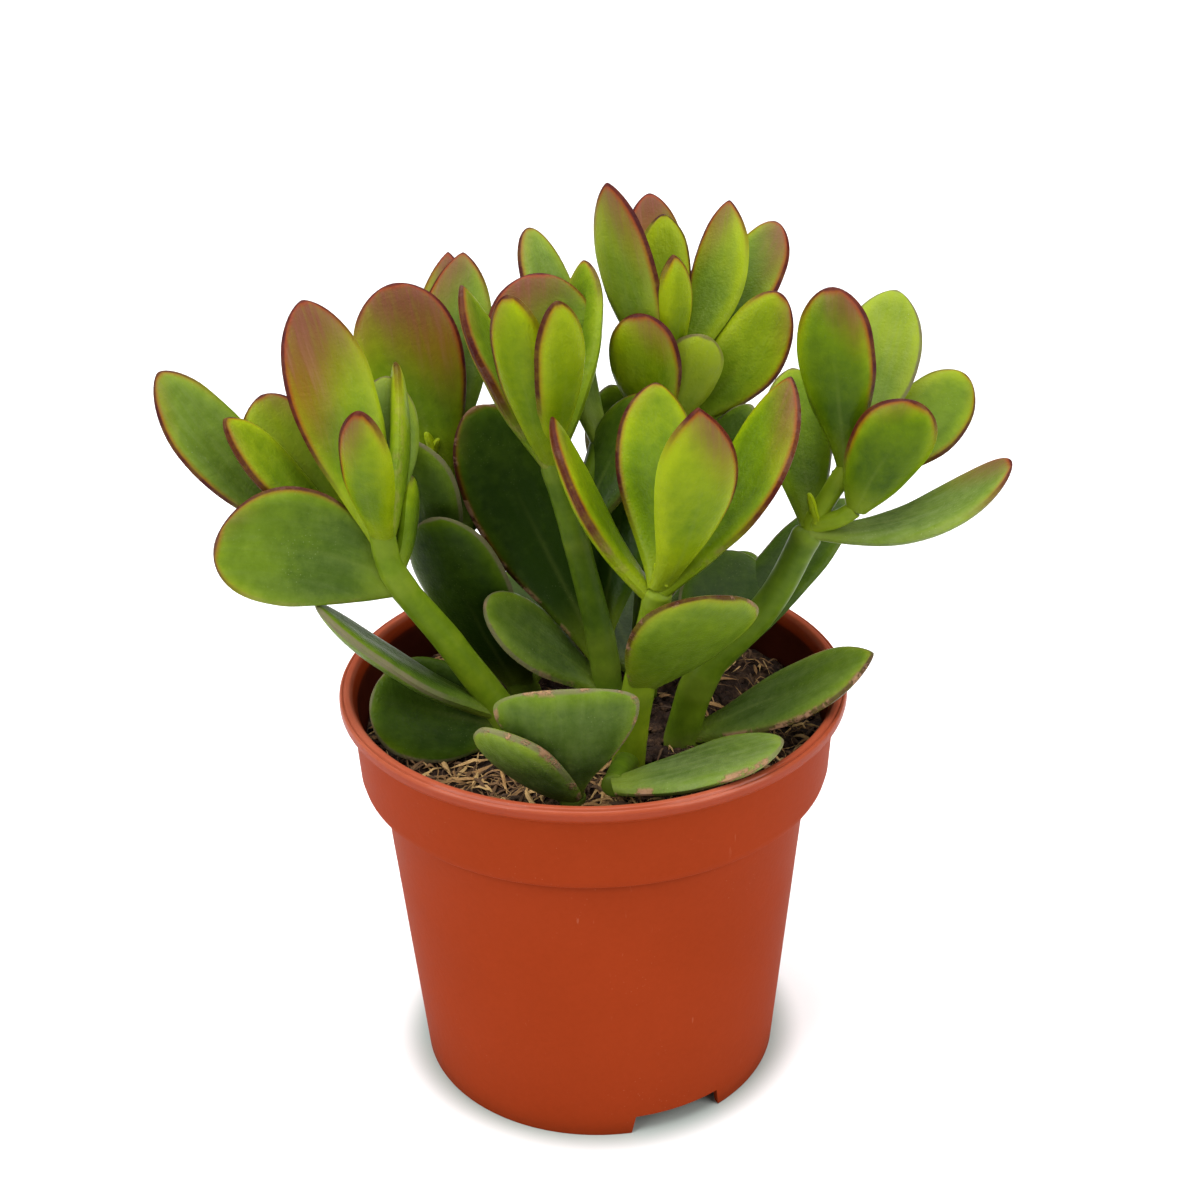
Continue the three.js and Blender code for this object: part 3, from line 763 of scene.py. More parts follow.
# %% Shape a leaf
LEAF_SIDES = 44
LEAF_STEPS = 36
FULLNESS = 0.8              # of the blade's section across: 1 is an ellipse, less is fuller
LENS = 1.05                 # of the section through the blade: more is leaner
CUPPING = 0.1               # how much the margins rise above the middle
MARGIN_BUNCHING = 0.3       # how strongly the sides crowd towards the margins
KEEL = 0.22                 # mm, the fine ridge along the margin
KEEL_SPREAD = 0.13          # radians of turn that the ridge covers
MIDRIB_GROOVE = 0.3         # mm, the soft crease down the middle of the upper face
MIDRIB_HALF_WIDTH = 1.6     # mm
FACE_WAVE = 0.5             # mm, how far noise lifts the face
FACE_WAVE_LENGTH = 14.0
EDGE_WAVE = 0.35            # mm, how far noise moves the margins sideways
EDGE_WAVE_LENGTH = 9.0
OTHER_NOISE = Vector((7.0, 0.0, 0.0))   # so that the two waves differ
NEW_LEAF_INSET = 1.3        # mm, which keeps the margin's colours off a leaf that has just begun
SHADE_TO_SUN = 0.9          # how much more sun one margin gets than the middle of the blade


def rounded(value, power):
    """A power that keeps the sign."""
    return math.copysign(abs(value) ** power, value)


def leaf_axes(azimuth, rise, twist):
    """The directions along the blade, across it and out of its upper face."""
    a, r, t = (math.radians(angle) for angle in (azimuth, rise, twist))
    along = Vector((math.cos(r) * math.cos(a), math.cos(r) * math.sin(a), math.sin(r)))
    level = Vector((-math.sin(a), math.cos(a), 0.0))
    across = level * math.cos(t) + along.cross(level) * math.sin(t)
    return along, across, along.cross(across)


def new_flesh():
    """An empty mesh whose points can carry the values above."""
    bm = bmesh.new()
    for name in POINT_VALUES:
        bm.verts.layers.float.new(name)
    return bm


def leaf_mesh(base, row, thickness=LEAF_THICKNESS):
    """One leaf as a small mesh, with the values that its material reads."""
    _, azimuth, rise, length, width, twist, bow, sway, root, tip, youth, blush, bloom, scar = row
    along, across, face = leaf_axes(azimuth, rise, twist)
    sunny_side = math.copysign(1.0, blush)
    unmarked = NEW_LEAF_INSET if thickness < LEAF_THICKNESS else 0.0
    bm = new_flesh()
    layers = {name: bm.verts.layers.float[name] for name in POINT_VALUES}
    bmesh.ops.create_uvsphere(bm, u_segments=LEAF_SIDES, v_segments=LEAF_STEPS, radius=1.0)
    for vert in bm.verts:
        s = min(1.0, max(0.0, (1 - vert.co.z) / 2))
        turn = math.atan2(vert.co.y, vert.co.x)
        turn -= MARGIN_BUNCHING * math.sin(2 * turn)
        half = half_width(s, width, root, tip)
        x = half * rounded(math.cos(turn), FULLNESS)
        off_margin = math.asin(min(1.0, abs(math.sin(turn))))
        keel = KEEL * math.exp(-(off_margin / KEEL_SPREAD) ** 2) * min(1.0, 8 * s * (1 - s))
        lens = half_thickness(s, thickness) * rounded(math.sin(turn), LENS)
        bend = 4 * s * (1 - s)
        z = lens + CUPPING * x * x / (width / 2) - bow * bend
        if lens > 0:
            z -= MIDRIB_GROOVE * bend * math.exp(-(x / MIDRIB_HALF_WIDTH) ** 2)
        place = base + along * length * s + face * z
        place += across * (x + math.copysign(keel, math.cos(turn)) + sway * bend)
        place += face * FACE_WAVE * bend * noise.noise(place / FACE_WAVE_LENGTH)
        place += across * EDGE_WAVE * bend * noise.noise(place / EDGE_WAVE_LENGTH + OTHER_NOISE)
        # How far it is to the margin or round the tip, and a little more on the faces.
        inset = min(half - abs(x), length * (1 - s) * 0.9) + abs(lens) * 0.35 + unmarked
        offset = x / (width / 2)
        sun = min(1.0, max(0.1, 0.5 + SHADE_TO_SUN * sunny_side * offset))
        values = (s, offset, inset, sun, youth, abs(blush), bloom, scar, 0.0)
        for name, value in zip(POINT_VALUES, values):
            vert[layers[name]] = value
        vert.co = place
    return bm


# %% [markdown]
# ## One shoot
#
# A shoot is drawn the same way: a sphere pulled out along the shoot's course, so that it has
# round, closed ends. A young jade stem is smooth and fleshy. It only swells a little at a node,
# where leaves clasp it, and the skin is paler there. Low down, a faint ring is left where an
# older leaf has dropped. Each is a small bump in the radius, and the mesh carries the rings so
# that the material can colour them.

# %% Course and nodes of a shoot
COURSE_STEPS = 40
OLD_NODE_SPACING = 11.0     # mm
OLD_NODE_CLEARNESS = 0.35


def on_course(points, t):
    """The place and the heading on a smooth curve through the points, at t from 0 to 1."""
    points = [Vector(point) for point in points]
    points = [2 * points[0] - points[1], *points, 2 * points[-1] - points[-2]]
    spans = len(points) - 3
    index = min(int(t * spans), spans - 1)
    w = t * spans - index
    before, start, end, after = points[index:index + 4]
    leaving, arriving = (end - before) / 2, (after - start) / 2
    place = (start + leaving * w + (-3 * start + 3 * end - 2 * leaving - arriving) * w ** 2
             + (2 * start - 2 * end + leaving + arriving) * w ** 3)
    heading = (leaving + 2 * (-3 * start + 3 * end - 2 * leaving - arriving) * w
               + 3 * (2 * start - 2 * end + leaving + arriving) * w ** 2)
    return place, heading.normalized()


def course_length(points):
    """How long the course is, in mm."""
    places = [on_course(points, i / COURSE_STEPS)[0] for i in range(COURSE_STEPS + 1)]
    return sum((b - a).length for a, b in zip(places, places[1:]))


def node_places(shoot, length):
    """Where the shoot has nodes, in mm from its foot, and how clearly each one shows."""
    grown = {round(row[0] * length, 0): 1.0 for row in shoot["leaves"]}
    lowest = min(grown)
    dropped = {lowest - OLD_NODE_SPACING * i: OLD_NODE_CLEARNESS for i in (1, 2)}
    return {**dropped, **grown}


for stem_name, (main_shoot, *side_shoots) in LEAFY_STEMS.items():
    print(stem_name, "is", round(course_length(main_shoot["course"])), "mm long and has side shoots:",
          len(side_shoots))

# %% Shape a shoot
STEM_SIDES = 28
STEM_STEPS = 110
NODE_SWELL = 0.06
NODE_WIDTH = 3.2            # mm along the stem
END_ROUNDING = 0.1          # how much of the sphere's turn the round ends take up
STEM_UNEVENNESS = 0.04
STEM_WAVE_LENGTH = 8.0      # mm
BARK_UNIT = 140.0           # mm of height that the stem's material reads as 1
NO_MARGIN = 9.0             # mm, so far from any margin that none shows
STEM_BLOOM = 0.1


def shoot_mesh(shoot):
    """One bare shoot as a small mesh."""
    bm = new_flesh()
    layers = {name: bm.verts.layers.float[name] for name in POINT_VALUES}
    length = course_length(shoot["course"])
    nodes = node_places(shoot, length)
    foot, tip = shoot["radius"]
    bmesh.ops.create_uvsphere(bm, u_segments=STEM_SIDES, v_segments=STEM_STEPS, radius=1.0)
    for vert in bm.verts:
        t = math.acos(min(1.0, max(-1.0, vert.co.z))) / math.pi
        place, heading = on_course(shoot["course"], t)
        side = heading.cross(Vector((0.0, 1.0, 0.0))).normalized()
        front = side.cross(heading)
        ring = sum(clear * math.exp(-((t * length - node) / NODE_WIDTH) ** 2)
                   for node, clear in nodes.items())
        ring = min(1.0, ring)
        turn = math.atan2(vert.co.y, vert.co.x)
        round_end = min(1.0, math.hypot(vert.co.x, vert.co.y) / END_ROUNDING) ** 0.5
        radius = (foot + (tip - foot) * t) * round_end * (1 + NODE_SWELL * ring)
        wave = noise.noise(place / STEM_WAVE_LENGTH + Vector((turn / 3, 0.0, 0.0)))
        radius *= 1 + STEM_UNEVENNESS * wave
        values = (place.z / BARK_UNIT, 0.0, NO_MARGIN, 0.0, shoot["youth"], 0.0, STEM_BLOOM, 0.0,
                  ring ** 3)
        for name, value in zip(POINT_VALUES, values):
            vert[layers[name]] = value
        vert.co = place + (side * math.cos(turn) + front * math.sin(turn)) * radius
    for face in bm.faces:
        face.material_index = 1
    return bm


# %% [markdown]
# ## The leafy stems
#
# Now the plan is grown. Each stem is one piece: its shoots and its leaves overlap at their
# roots, as they do in the frame. At the tip of a shoot with several leaves sits a pair of tiny
# ones that haven't opened yet. They hardly show from the front, but they are the first thing one
# sees from above.

# %% Grow the leafy stems
BUD_LENGTHS = (7.0, 5.5)
BUD_SLIMNESS = 0.42     # width over length
BUD_THICKNESS = 2.2
BUD_RISE = 76
FEWEST_LEAVES = 3       # on a shoot that still makes buds


def bud_meshes(shoot):
    """The closed pair of new leaves at a shoot's tip."""
    place, heading = on_course(shoot["course"], 1.0)
    last = shoot["leaves"][-1][1]
    for i, length in enumerate(BUD_LENGTHS):
        width = BUD_SLIMNESS * length
        row = (1.0, last + 90 + 180 * i, BUD_RISE, length, width, 0, -0.4, 0, 1.2, 0.3, 0.9, 0, 0, 0)
        yield leaf_mesh(place + heading, row, BUD_THICKNESS)


def leafy_stem(name, shoots):
    """Grow one rooted stem with all its shoots and leaves."""
    bm = new_flesh()
    for shoot in shoots:
        join(bm, shoot_mesh(shoot))
        for row in shoot["leaves"]:
            join(bm, leaf_mesh(on_course(shoot["course"], row[0])[0], row))
        if len(shoot["leaves"]) >= FEWEST_LEAVES:
            for bud in bud_meshes(shoot):
                join(bm, bud)
    finish_piece(name + "_grown", bm, [leaf_material, stem_material], [name])


for stem_name, stem_shoots in LEAFY_STEMS.items():
    leafy_stem(stem_name, stem_shoots)

# %% [markdown]
# ## The pot's plastic
#
# The pot is moulded polypropylene in a terracotta brown. It is satin rather than glossy, and
# its colour is almost even. What makes it real is small: a paler rim, partly worn and partly a
# painted highlight, polished by handling so that it catches fine lines of light, a film of dust,
# and a few fine scuffs where pots have rubbed against each other on the nursery bench. Painted
# shade darkens the wall just under the collar, and darkens the inside much more, above the soil.
# The rim's polish is a coat, because a coat may be stronger in one place than in another.

# %% Pot material
# Each pair of numbers is where an effect begins and where it is full, in metres up the pot.
# The top of the rim is painted paler: partly wear, partly a painted highlight.
RIM_WEAR_AND_HIGHLIGHT = (0.1006, 0.1014)
RIM_POLISH = (0.0990, 0.1000)
COLLAR_SHADE = (0.0745, 0.0784)
COLLAR_FOOT = (0.0794, 0.0786)      # the shade ends here
INSIDE_TOP = (0.1000, 0.0985)
INSIDE_FOOT = (0.0815, 0.0825)
INSIDE_REACH = (0.0561, 0.0557)     # from the axis: above the soil, the inside is within this


def scuff_marks(tree, place, broad):
    """Fine scuffs, drawn out up the wall and a little aslant, as a mask."""
    stretched = put(tree, "Mapping", Vector=place, Scale=(1.0, 1.0, 0.22), Rotation=(0.5, 0.3, 0.0))
    marks = cloud(tree, stretched.outputs["Vector"], 620.0, 2.0)
    return product(tree, fade(tree, marks, 0.72, 0.78, 0.0, 0.2), fade(tree, broad, 0.5, 0.62))


def inside_pot(tree, place, height):
    """The inside of the pot above the soil, as a mask."""
    flat_place = put(tree, "VectorMath", {"operation": "MULTIPLY"})
    fill(tree, flat_place.inputs[0], place)
    flat_place.inputs[1].default_value = (1.0, 1.0, 0.0)
    off_axis = length_of(tree, flat_place.outputs["Vector"])
    return product(tree, fade(tree, off_axis, *INSIDE_REACH), fade(tree, height, *INSIDE_TOP),
                   fade(tree, height, *INSIDE_FOOT))


def make_pot_material():
    """Terracotta-brown moulded plastic."""
    material, tree, shader = new_material("terracotta_plastic")
    place = own_place(tree)
    height = put(tree, "SeparateXYZ", Vector=place).outputs["Z"]
    broad = cloud(tree, place, 28.0, 4.0)
    fine = cloud(tree, place, 700.0, 3.0, 0.6)
    colour = ramp(tree, scaled(tree, fine, 0.35, product(tree, broad, 0.65)), [
        (0.25, (0.204, 0.025, 0.005)),
        (0.75, (0.238, 0.030, 0.007)),
    ])
    # Partly wear and partly a painted highlight: the top of the rim is painted a paler pink.
    rim_wear_and_highlight = product(tree, fade(tree, height, *RIM_WEAR_AND_HIGHLIGHT), fade(tree, broad, 0.2, 0.8, 0.10, 0.45))
    colour = blend(tree, rim_wear_and_highlight, colour, rgb(0.420, 0.150, 0.090))
    # Painted shade: the wall right under the collar is darkened, where the collar keeps the light off
    # it.
    collar_painted_shade = product(tree, fade(tree, height, *COLLAR_SHADE, 0.0, 0.7),
                           fade(tree, height, *COLLAR_FOOT))
    colour = blend(tree, collar_painted_shade, colour, rgb(0.110, 0.013, 0.004))
    scuff = scuff_marks(tree, place, broad)
    dust = use_group(tree, specks, Place=place, Scale=700.0, Size=0.16)
    pale = sums(tree, "MAXIMUM", scuff, product(tree, dust, 0.30))
    colour = blend(tree, pale, colour, rgb(0.400, 0.160, 0.100))
    # Painted shade: the inside of the pot above the soil is darkened almost to black, as the shadow
    # in the pot would darken it.
    inside_painted_shade = product(tree, inside_pot(tree, place, height), fade(tree, broad, 0.2, 0.8, 0.95, 0.75))
    colour = blend(tree, inside_painted_shade, colour, rgb(0.030, 0.007, 0.004))
    rough = scaled(tree, scuff, 0.3, scaled(tree, broad, 0.12, 0.44))
    fill_all(tree, shader, Base_Color=colour, Roughness=rough, Specular_IOR_Level=0.010,
             Coat_Weight=fade(tree, height, *RIM_POLISH, 0.0, 0.28), Coat_Roughness=0.10,
             Normal=bumps(tree, fine, 0.0001, 0.6))
    return material


pot_material = make_pot_material()
print(pot_material.name, "has", len(pot_material.node_tree.nodes), "nodes")

# %% [markdown]
# ## The pot
#
# A pot is a solid of revolution, so one half of its section is drawn and spun about the
# upright axis. The section has the parts that such a pot always has: a foot ring, a raised
# floor, a tapered wall, a step out to the collar, which lets pots stack without jamming, and a
# rolled rim with a fine groove. The hard corners are bevelled afterwards, and the three
# drainage notches and the drain holes are cut out last with simple cutters.

# %% Section of the pot
POT_HEIGHT = 102.0
RIM_RADIUS = 60.0
BAND_RADIUS = 57.2
BAND_FOOT_RADIUS = 56.2
BAND_FOOT_HEIGHT = 81.5
WALL_TOP_RADIUS = 51.3
WALL_TOP_HEIGHT = 78.2
BASE_RADIUS = 44.0
WALL = 1.3
FLOOR_HEIGHT = 6.0
FLOOR_TOP = 7.6


def spun(section, steps):
    """Spin an open section of (radius, height) points about the upright axis."""
    bm = bmesh.new()
    verts = [bm.verts.new((radius, 0.0, height)) for radius, height in section]
    edges = [bm.edges.new(pair) for pair in zip(verts, verts[1:])]
    bmesh.ops.spin(bm, geom=verts + edges, axis=(0, 0, 1), cent=(0, 0, 0), angle=2 * math.pi,
                   steps=steps, use_merge=True)
    bmesh.ops.remove_doubles(bm, verts=bm.verts, dist=0.0005)
    bmesh.ops.recalc_face_normals(bm, faces=bm.faces)
    return bm


def outer_radius(z):
    """The outside of the tapered wall."""
    return BASE_RADIUS + (WALL_TOP_RADIUS - BASE_RADIUS) * z / WALL_TOP_HEIGHT


def inner_radius(z):
    """The inside of the tapered wall."""
    return outer_radius(z) - WALL


# From the underside of the floor, down the foot, up the outside, over the rim and down the inside.
POT_SECTION = [
    (0, FLOOR_HEIGHT),
    (BASE_RADIUS - WALL - 0.4, FLOOR_HEIGHT),
    (BASE_RADIUS - WALL - 0.4, 0),
    (BASE_RADIUS, 0),
    *[(outer_radius(z), z) for z in (5.9, 8.0, 30.0, 55.0)],
    (WALL_TOP_RADIUS, WALL_TOP_HEIGHT),
    (WALL_TOP_RADIUS + 2.9, WALL_TOP_HEIGHT + 0.5),
    (BAND_FOOT_RADIUS - 0.5, BAND_FOOT_HEIGHT - 1.9),
    (BAND_FOOT_RADIUS, BAND_FOOT_HEIGHT),
    (BAND_RADIUS, POT_HEIGHT - 4.1),
    (RIM_RADIUS - 1.0, POT_HEIGHT - 3.7),
    (RIM_RADIUS, POT_HEIGHT - 2.6),
    (RIM_RADIUS, POT_HEIGHT - 1.0),
    (RIM_RADIUS - 0.35, POT_HEIGHT - 0.35),
    (RIM_RADIUS - 0.8, POT_HEIGHT - 0.3),
    (RIM_RADIUS - 1.0, POT_HEIGHT - 0.65),
    (RIM_RADIUS - 1.25, POT_HEIGHT - 0.05),
    (RIM_RADIUS - 2.4, POT_HEIGHT),
    (RIM_RADIUS - 3.0, POT_HEIGHT - 0.6),
    (BAND_RADIUS - WALL - 0.1, POT_HEIGHT - 3.4),
    (BAND_FOOT_RADIUS - WALL, BAND_FOOT_HEIGHT),
    (BAND_FOOT_RADIUS - WALL - 0.8, BAND_FOOT_HEIGHT - 1.2),
    (WALL_TOP_RADIUS - WALL, WALL_TOP_HEIGHT + 1),
    (inner_radius(FLOOR_TOP + 2), FLOOR_TOP + 2),
    (inner_radius(FLOOR_TOP) - 2, FLOOR_TOP),
    (0, FLOOR_TOP),
]
print("the pot's section has", len(POT_SECTION), "points")

# %% Bevel and cutters
RING_CORNER = math.radians(24.0)    # ring edges that turn by more than this are rounded
RING_ROUNDING = 0.22
NOTCH_HALF_ANGLE = math.radians(16.0)
NOTCH_HEIGHT = 5.2
NOTCH_TAPER = 1.2           # mm by which each side leans in towards the top
NOTCH_DEPTH = 8.0
NOTCH_BELOW = 2.0           # mm that the cutter reaches past the foot
DRAIN_RING = 28.0
DRAIN_RADIUS = 4.0
DRAIN_CUT = 6.0             # mm, more than the floor is thick


def bevel_rings(bm):
    """Round the hard ring edges."""
    rings = [edge for edge in bm.edges if edge.is_manifold
             and edge.calc_face_angle() > RING_CORNER
             and abs(edge.verts[0].co.z - edge.verts[1].co.z) < 0.01]
    bmesh.ops.bevel(bm, geom=rings, offset=RING_ROUNDING, segments=2, profile=0.5,
                    affect="EDGES", material=-1)


def notch_cutter(angle):
    """A wedge that is wider at the bottom, set across the foot ring."""
    bm = bmesh.new()
    bmesh.ops.create_cube(bm, size=1.0)
    half = BASE_RADIUS * math.sin(NOTCH_HALF_ANGLE)
    bmesh.ops.scale(bm, vec=(2 * half, NOTCH_DEPTH, NOTCH_HEIGHT + NOTCH_BELOW), verts=bm.verts)
    for vert in bm.verts:
        if vert.co.z > 0:
            vert.co.x -= math.copysign(NOTCH_TAPER, vert.co.x)
    place = (0.0, -BASE_RADIUS + 1.0, (NOTCH_HEIGHT - NOTCH_BELOW) / 2)
    bmesh.ops.translate(bm, vec=place, verts=bm.verts)
    turn = Quaternion((0, 0, 1), math.radians(angle + 90)).to_matrix()
    bmesh.ops.rotate(bm, matrix=turn, cent=(0, 0, 0), verts=bm.verts)
    return bm


def drain_cutter(angle):
    """A short post through the floor."""
    bm = bmesh.new()
    bmesh.ops.create_cone(bm, cap_ends=True, segments=32, radius1=DRAIN_RADIUS,
                          radius2=DRAIN_RADIUS, depth=DRAIN_CUT)
    middle_of_floor = (FLOOR_HEIGHT + FLOOR_TOP) / 2
    place = (DRAIN_RING * math.cos(angle), DRAIN_RING * math.sin(angle), middle_of_floor)
    bmesh.ops.translate(bm, vec=place, verts=bm.verts)
    return bm


def cut(bm, cutters):
    """Cut several closed meshes out of another and return what is left."""
    solids = []
    for part in (bm, *cutters):
        mesh = bpy.data.meshes.new("cutting")
        part.to_mesh(mesh)
        part.free()
        solids.append(bpy.data.objects.new("cutting", mesh))
        bpy.context.scene.collection.objects.link(solids[-1])
    for cutter in solids[1:]:
        boolean = solids[0].modifiers.new("cut", "BOOLEAN")
        boolean.operation = "DIFFERENCE"
        boolean.solver = "EXACT"
        boolean.object = cutter
    left = bmesh.new()
    left.from_object(solids[0], bpy.context.evaluated_depsgraph_get())
    for solid in solids:
        mesh = solid.data
        bpy.data.objects.remove(solid)
        bpy.data.meshes.remove(mesh)
    return left


# %% Make the pot
POT_STEPS = 180
NOTCH_ANGLES = (-65.0, 55.0, 175.0)     # degrees from +X
DRAIN_HOLES = 6

pot_bm = spun(POT_SECTION, POT_STEPS)
bevel_rings(pot_bm)
pot_bm = cut(pot_bm, [notch_cutter(angle) for angle in NOTCH_ANGLES]
             + [drain_cutter(2 * math.pi / DRAIN_HOLES * i) for i in range(DRAIN_HOLES)])
finish_piece("pot_moulding", pot_bm, [pot_material], ["pot"])

# %% [markdown]
# ## The soil
#
# Potting mix is dark crumbs of peat with light coir fibres in it. A flat disc with a bump
# texture would do from far away, but here one looks across the soil at a slant, and its lumps
# show against the wall of the pot. So its body is one spun solid that fills the pot, with a top
# that is raised and lowered by noise, and what lies loose on it is made as pieces of its own.

# %% Soil materials


def make_soil_material():
    """Dark peat."""
    material, tree, shader = new_material("potting_mix")
    place = own_place(tree)
    clods = cloud(tree, place, 260.0, 6.0, 0.7)
    crumbs = put(tree, "TexVoronoi", Vector=place, Scale=650.0)
    colour = ramp(tree, clods, [
        (0.30, (0.006, 0.003, 0.002)),
        (0.52, (0.030, 0.015, 0.009)),
        (0.72, (0.110, 0.060, 0.030)),
    ])
    flecks = use_group(tree, specks, Place=place, Scale=800.0, Size=0.3)
    colour = blend(tree, product(tree, flecks, 0.5), colour, rgb(0.260, 0.160, 0.080))
    height = scaled(tree, crumbs.outputs["Distance"], -0.8, clods)
    fill_all(tree, shader, Base_Color=colour, Roughness=0.95, Specular_IOR_Level=0.2,
             Normal=bumps(tree, height, 0.0012))
    return material


def make_fibre_material():
    """Coir and straw, from dark brown to pale, each strand its own tone."""
    material, tree, shader = new_material("coir_fibre")
    place = own_place(tree)
    tone = scaled(tree, cloud(tree, place, 500.0), 0.3, painted(tree, "tone"))
    colour = ramp(tree, tone, [
        (0.15, (0.020, 0.009, 0.004)),
        (0.55, (0.120, 0.058, 0.020)),
        (0.85, (0.285, 0.150, 0.048)),
        (1.00, (0.480, 0.300, 0.115)),
    ])
    fill_all(tree, shader, Base_Color=colour, Roughness=0.8,
             Normal=bumps(tree, cloud(tree, place, 2600.0), 0.0002))
    return material


soil_material = make_soil_material()
fibre_material = make_fibre_material()
print("materials:", soil_material.name, "and", fibre_material.name)

# %% Make the soil's body
SOIL_HEIGHT = 89.0
SOIL_CLEAR = 0.3        # mm between soil and pot
SOIL_EDGE = BAND_FOOT_RADIUS - WALL - SOIL_CLEAR
SOIL_RINGS = 70
SOIL_STEPS = 220
WAVE_HEIGHT = 0.7
LUMP_HEIGHT = 1.1
LUMP_SPACING = 7.0


def soil_top(x, y):
    """The height of the soil's surface."""
    waves = math.sin(x * 0.31 + 1.7) * math.cos(y * 0.27 - 0.6)
    waves += 0.6 * math.sin(x * 0.53 - y * 0.44 + 2.1)
    lumps = noise.fractal(Vector((x, y, 0.0)) / LUMP_SPACING, 0.8, 2.1, 5)
    return SOIL_HEIGHT + WAVE_HEIGHT * waves + LUMP_HEIGHT * lumps


soil_section = [
    (0, FLOOR_TOP + SOIL_CLEAR),
    (inner_radius(FLOOR_TOP) - 2 - SOIL_CLEAR, FLOOR_TOP + SOIL_CLEAR),
    (inner_radius(FLOOR_TOP + 2) - SOIL_CLEAR, FLOOR_TOP + 2 + SOIL_CLEAR),
    (WALL_TOP_RADIUS - WALL - SOIL_CLEAR, WALL_TOP_HEIGHT + 1),
    (SOIL_EDGE - 0.8, BAND_FOOT_HEIGHT - 1.2 + SOIL_CLEAR),
    (SOIL_EDGE, BAND_FOOT_HEIGHT + SOIL_CLEAR),
]
soil_section += [(SOIL_EDGE * i / SOIL_RINGS, SOIL_HEIGHT) for i in range(SOIL_RINGS, -1, -1)]
soil_bm = spun(soil_section, SOIL_STEPS)
for vert in soil_bm.verts:
    if vert.co.z > SOIL_HEIGHT - 0.5:
        vert.co.z = soil_top(vert.co.x, vert.co.y)
finish_piece("soil_body", soil_bm, [soil_material], ["soil"])

# %% [markdown]
# ## Crumbs on the soil
#
# The largest crumbs lie loose and cast small shadows, which a texture can't do. Each is a
# rounded shape of few faces, squashed and then dented by noise. One generator with a fixed seed
# draws every random number for crumbs and fibres, so the soil is the same at every run.

# %% Scatter the crumbs
CRUMB_COUNT = 1300
CRUMB_RADIUS = 2.0      # mm, of the largest ones
CRUMB_ROUGHNESS = 0.45
CRUMB_RISE = 0.15       # of its radius, how far a crumb's middle is above the soil
FINE_CRUMB = 1.2        # mm: a crumb that is larger gets more faces
CLUMPED = 0.75          # the share of what is scattered in clumps
SPOT_REACH = SOIL_EDGE - 2.2
rng = random.Random(41)


def spot_on_soil(clumps=()):
    """A random place on the soil, or near one of the clumps given as (x, y, spread)."""
    while True:
        if clumps and rng.random() < CLUMPED:
            x, y, spread = rng.choice(clumps)
            x, y = rng.gauss(x, spread), rng.gauss(y, spread)
        else:
            radius = SOIL_EDGE * math.sqrt(rng.random())
            turn = rng.uniform(0.0, 2 * math.pi)
            x, y = radius * math.cos(turn), radius * math.sin(turn)
        if math.hypot(x, y) < SPOT_REACH:
            return x, y


crumb_bm = bmesh.new()
for _ in range(CRUMB_COUNT):
    x, y = spot_on_soil()
    size = rng.uniform(0.4, 1.0) ** 2 * CRUMB_RADIUS
    crumb = bmesh.new()
    bmesh.ops.create_icosphere(crumb, subdivisions=2 if size > FINE_CRUMB else 1, radius=size)
    squash = Vector((rng.uniform(0.7, 1.3), rng.uniform(0.7, 1.3), rng.uniform(0.45, 0.9)))
    offset = Vector((x, y, soil_top(x, y) + CRUMB_RISE * size))
    for vert in crumb.verts:
        vert.co = vert.co * squash
        vert.co *= 1 + CRUMB_ROUGHNESS * noise.noise((vert.co + offset) / (0.8 * size))
        vert.co += offset
    join(crumb_bm, crumb)
finish_piece("soil_crumbs", crumb_bm, [soil_material])

# %% [markdown]
# ## Fibres in the soil
#
# Strands of coir and bits of straw lie over the crumbs. A fibre could be a curve with a
# thickness, but a mesh can carry a tone of its own for each strand. So a fibre is a sphere
# pulled out thin along a curved line, as a shoot is, with only a few faces, because there are
# hundreds. Most lie in the clumps where watering has washed them together.

# %% Scatter the fibres
FIBRE_COUNT = 900
FIBRE_REACH = SOIL_EDGE - 0.8   # mm from the axis, which keeps a strand out of the wall
FIBRE_RISE = 0.7        # mm above the soil at its ends
FIBRE_ARCH = 0.9        # mm more in its middle
FIBRE_WAVE = 0.4
FIBRE_END = 0.35        # the thickness of its ends, as a share of its middle's
FIBRE_CLUMPS = [(-38, -24, 6), (-28, -27, 6), (-18, -34, 5), (2, -33, 5), (11, -34, 5),
                (36, -14, 6), (46, -8, 6), (50, 4, 5), (24, -24, 5), (-46, -4, 5), (40, 26, 6),
                (-20, 42, 7), (8, 46, 7), (-44, 24, 6)]


def fibre_mesh(middle, heading, length, thickness, curl, tone):
    """One curved strand that lies along the soil, as a small mesh."""
    bm = bmesh.new()
    tone_layer = bm.verts.layers.float.new("tone")
    bmesh.ops.create_uvsphere(bm, u_segments=4, v_segments=9, radius=1.0)
    phase = rng.uniform(0.0, 9.0)
    for vert in bm.verts:
        t = math.acos(min(1.0, max(-1.0, vert.co.z))) / math.pi
        turn = heading + curl * (t - 0.5)
        x = middle[0] + length * (t - 0.5) * math.cos(turn)
        y = middle[1] + length * (t - 0.5) * math.sin(turn)
        reach = math.hypot(x, y)
        if reach > FIBRE_REACH:
            x, y = x * FIBRE_REACH / reach, y * FIBRE_REACH / reach
        z = soil_top(x, y) + FIBRE_RISE + FIBRE_ARCH * math.sin(math.pi * t)
        z += FIBRE_WAVE * math.sin(5 * t + phase)
        girth = thickness * (FIBRE_END + (1 - FIBRE_END) * math.sin(math.pi * t))
        across = Vector((-math.sin(heading), math.cos(heading), 0.0)) * vert.co.x * girth
        vert[tone_layer] = tone
        vert.co = Vector((x, y, z + vert.co.y * girth)) + across
    return bm


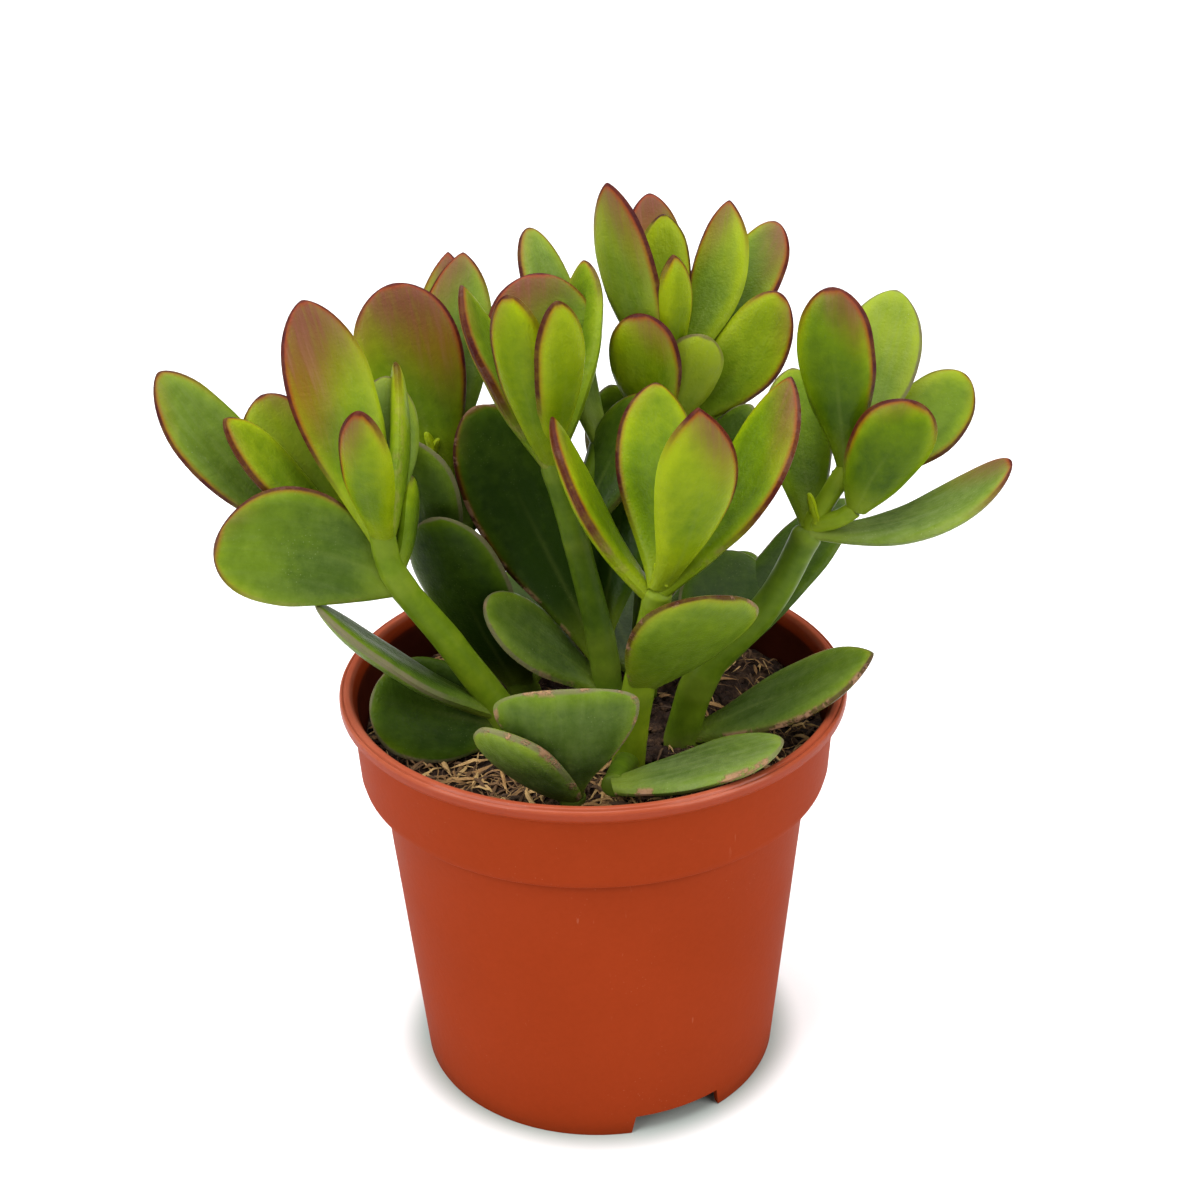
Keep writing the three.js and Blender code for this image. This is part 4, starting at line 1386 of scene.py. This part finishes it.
fibre_bm = bmesh.new()
fibre_bm.verts.layers.float.new("tone")
for _ in range(FIBRE_COUNT):
    x, y = spot_on_soil(FIBRE_CLUMPS)
    heading = rng.uniform(0.0, 2 * math.pi)
    length = rng.uniform(3.0, 14.0)
    thickness = 0.13 + 0.55 * rng.random() ** 2
    curl = rng.gauss(0.0, 0.6)
    tone = rng.uniform(0.1, 1.0)
    join(fibre_bm, fibre_mesh((x, y), heading, length, thickness, curl, tone))
finish_piece("soil_fibres", fibre_bm, [fibre_material])

# %% [markdown]
# ## The floor's finish and the backdrop
#
# The floor only has to be pale, plain and matt, so that the plant's soft shadow shows on it. A
# painted shadow darkens the card right round the foot, where hardly any light gets in under the pot.
#
# Seen from low down, the world shows behind the floor's far edge. A world this weak would look
# dark grey there, so the camera alone sees a brighter one: the Light Path node tells the camera's
# own rays from those that carry light.

# %% Floor material and backdrop
WORLD_LIGHT = 0.12      # how strongly the world lights the plant
BACKDROP = 0.85         # how bright it looks to the camera

floor_material, tree, shader = new_material("pale_card")
card_place = own_place(tree)
# Painted shadow: the card is darkened in a greenish ring round the pot's foot.
painted_foot_shadow = fade(tree, length_of(tree, card_place), 0.053, 0.043, 0.0, 0.62)
card = ramp(tree, cloud(tree, card_place, 4.0), [
    (0.3, (0.79, 0.79, 0.79)),
    (0.7, (0.81, 0.81, 0.81)),
])
fill_all(tree, shader, Base_Color=blend(tree, painted_foot_shadow, card, rgb(0.07, 0.13, 0.09)),
         Roughness=0.9, Specular_IOR_Level=0.1)
floor.data.materials.append(floor_material)

seen_directly = put(world.node_tree, "LightPath").outputs["Is Camera Ray"]
strength = scaled(world.node_tree, seen_directly, BACKDROP - WORLD_LIGHT, WORLD_LIGHT)
fill_all(world.node_tree, world.node_tree.nodes["Background"], Strength=strength)
print("the backdrop looks", BACKDROP, "bright and lights the plant with", WORLD_LIGHT)

# %% [markdown]
# ## The boxes
#
# The finished plant has to fit the frame, so both boxes are printed, the frame's and its own.

# %% Print the boxes
new_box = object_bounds()
for name, box in (("frame", cad_box), ("finished", new_box)):
    print(name, "box in mm:", [[round(value / MM, 1) for value in corner] for corner in box])
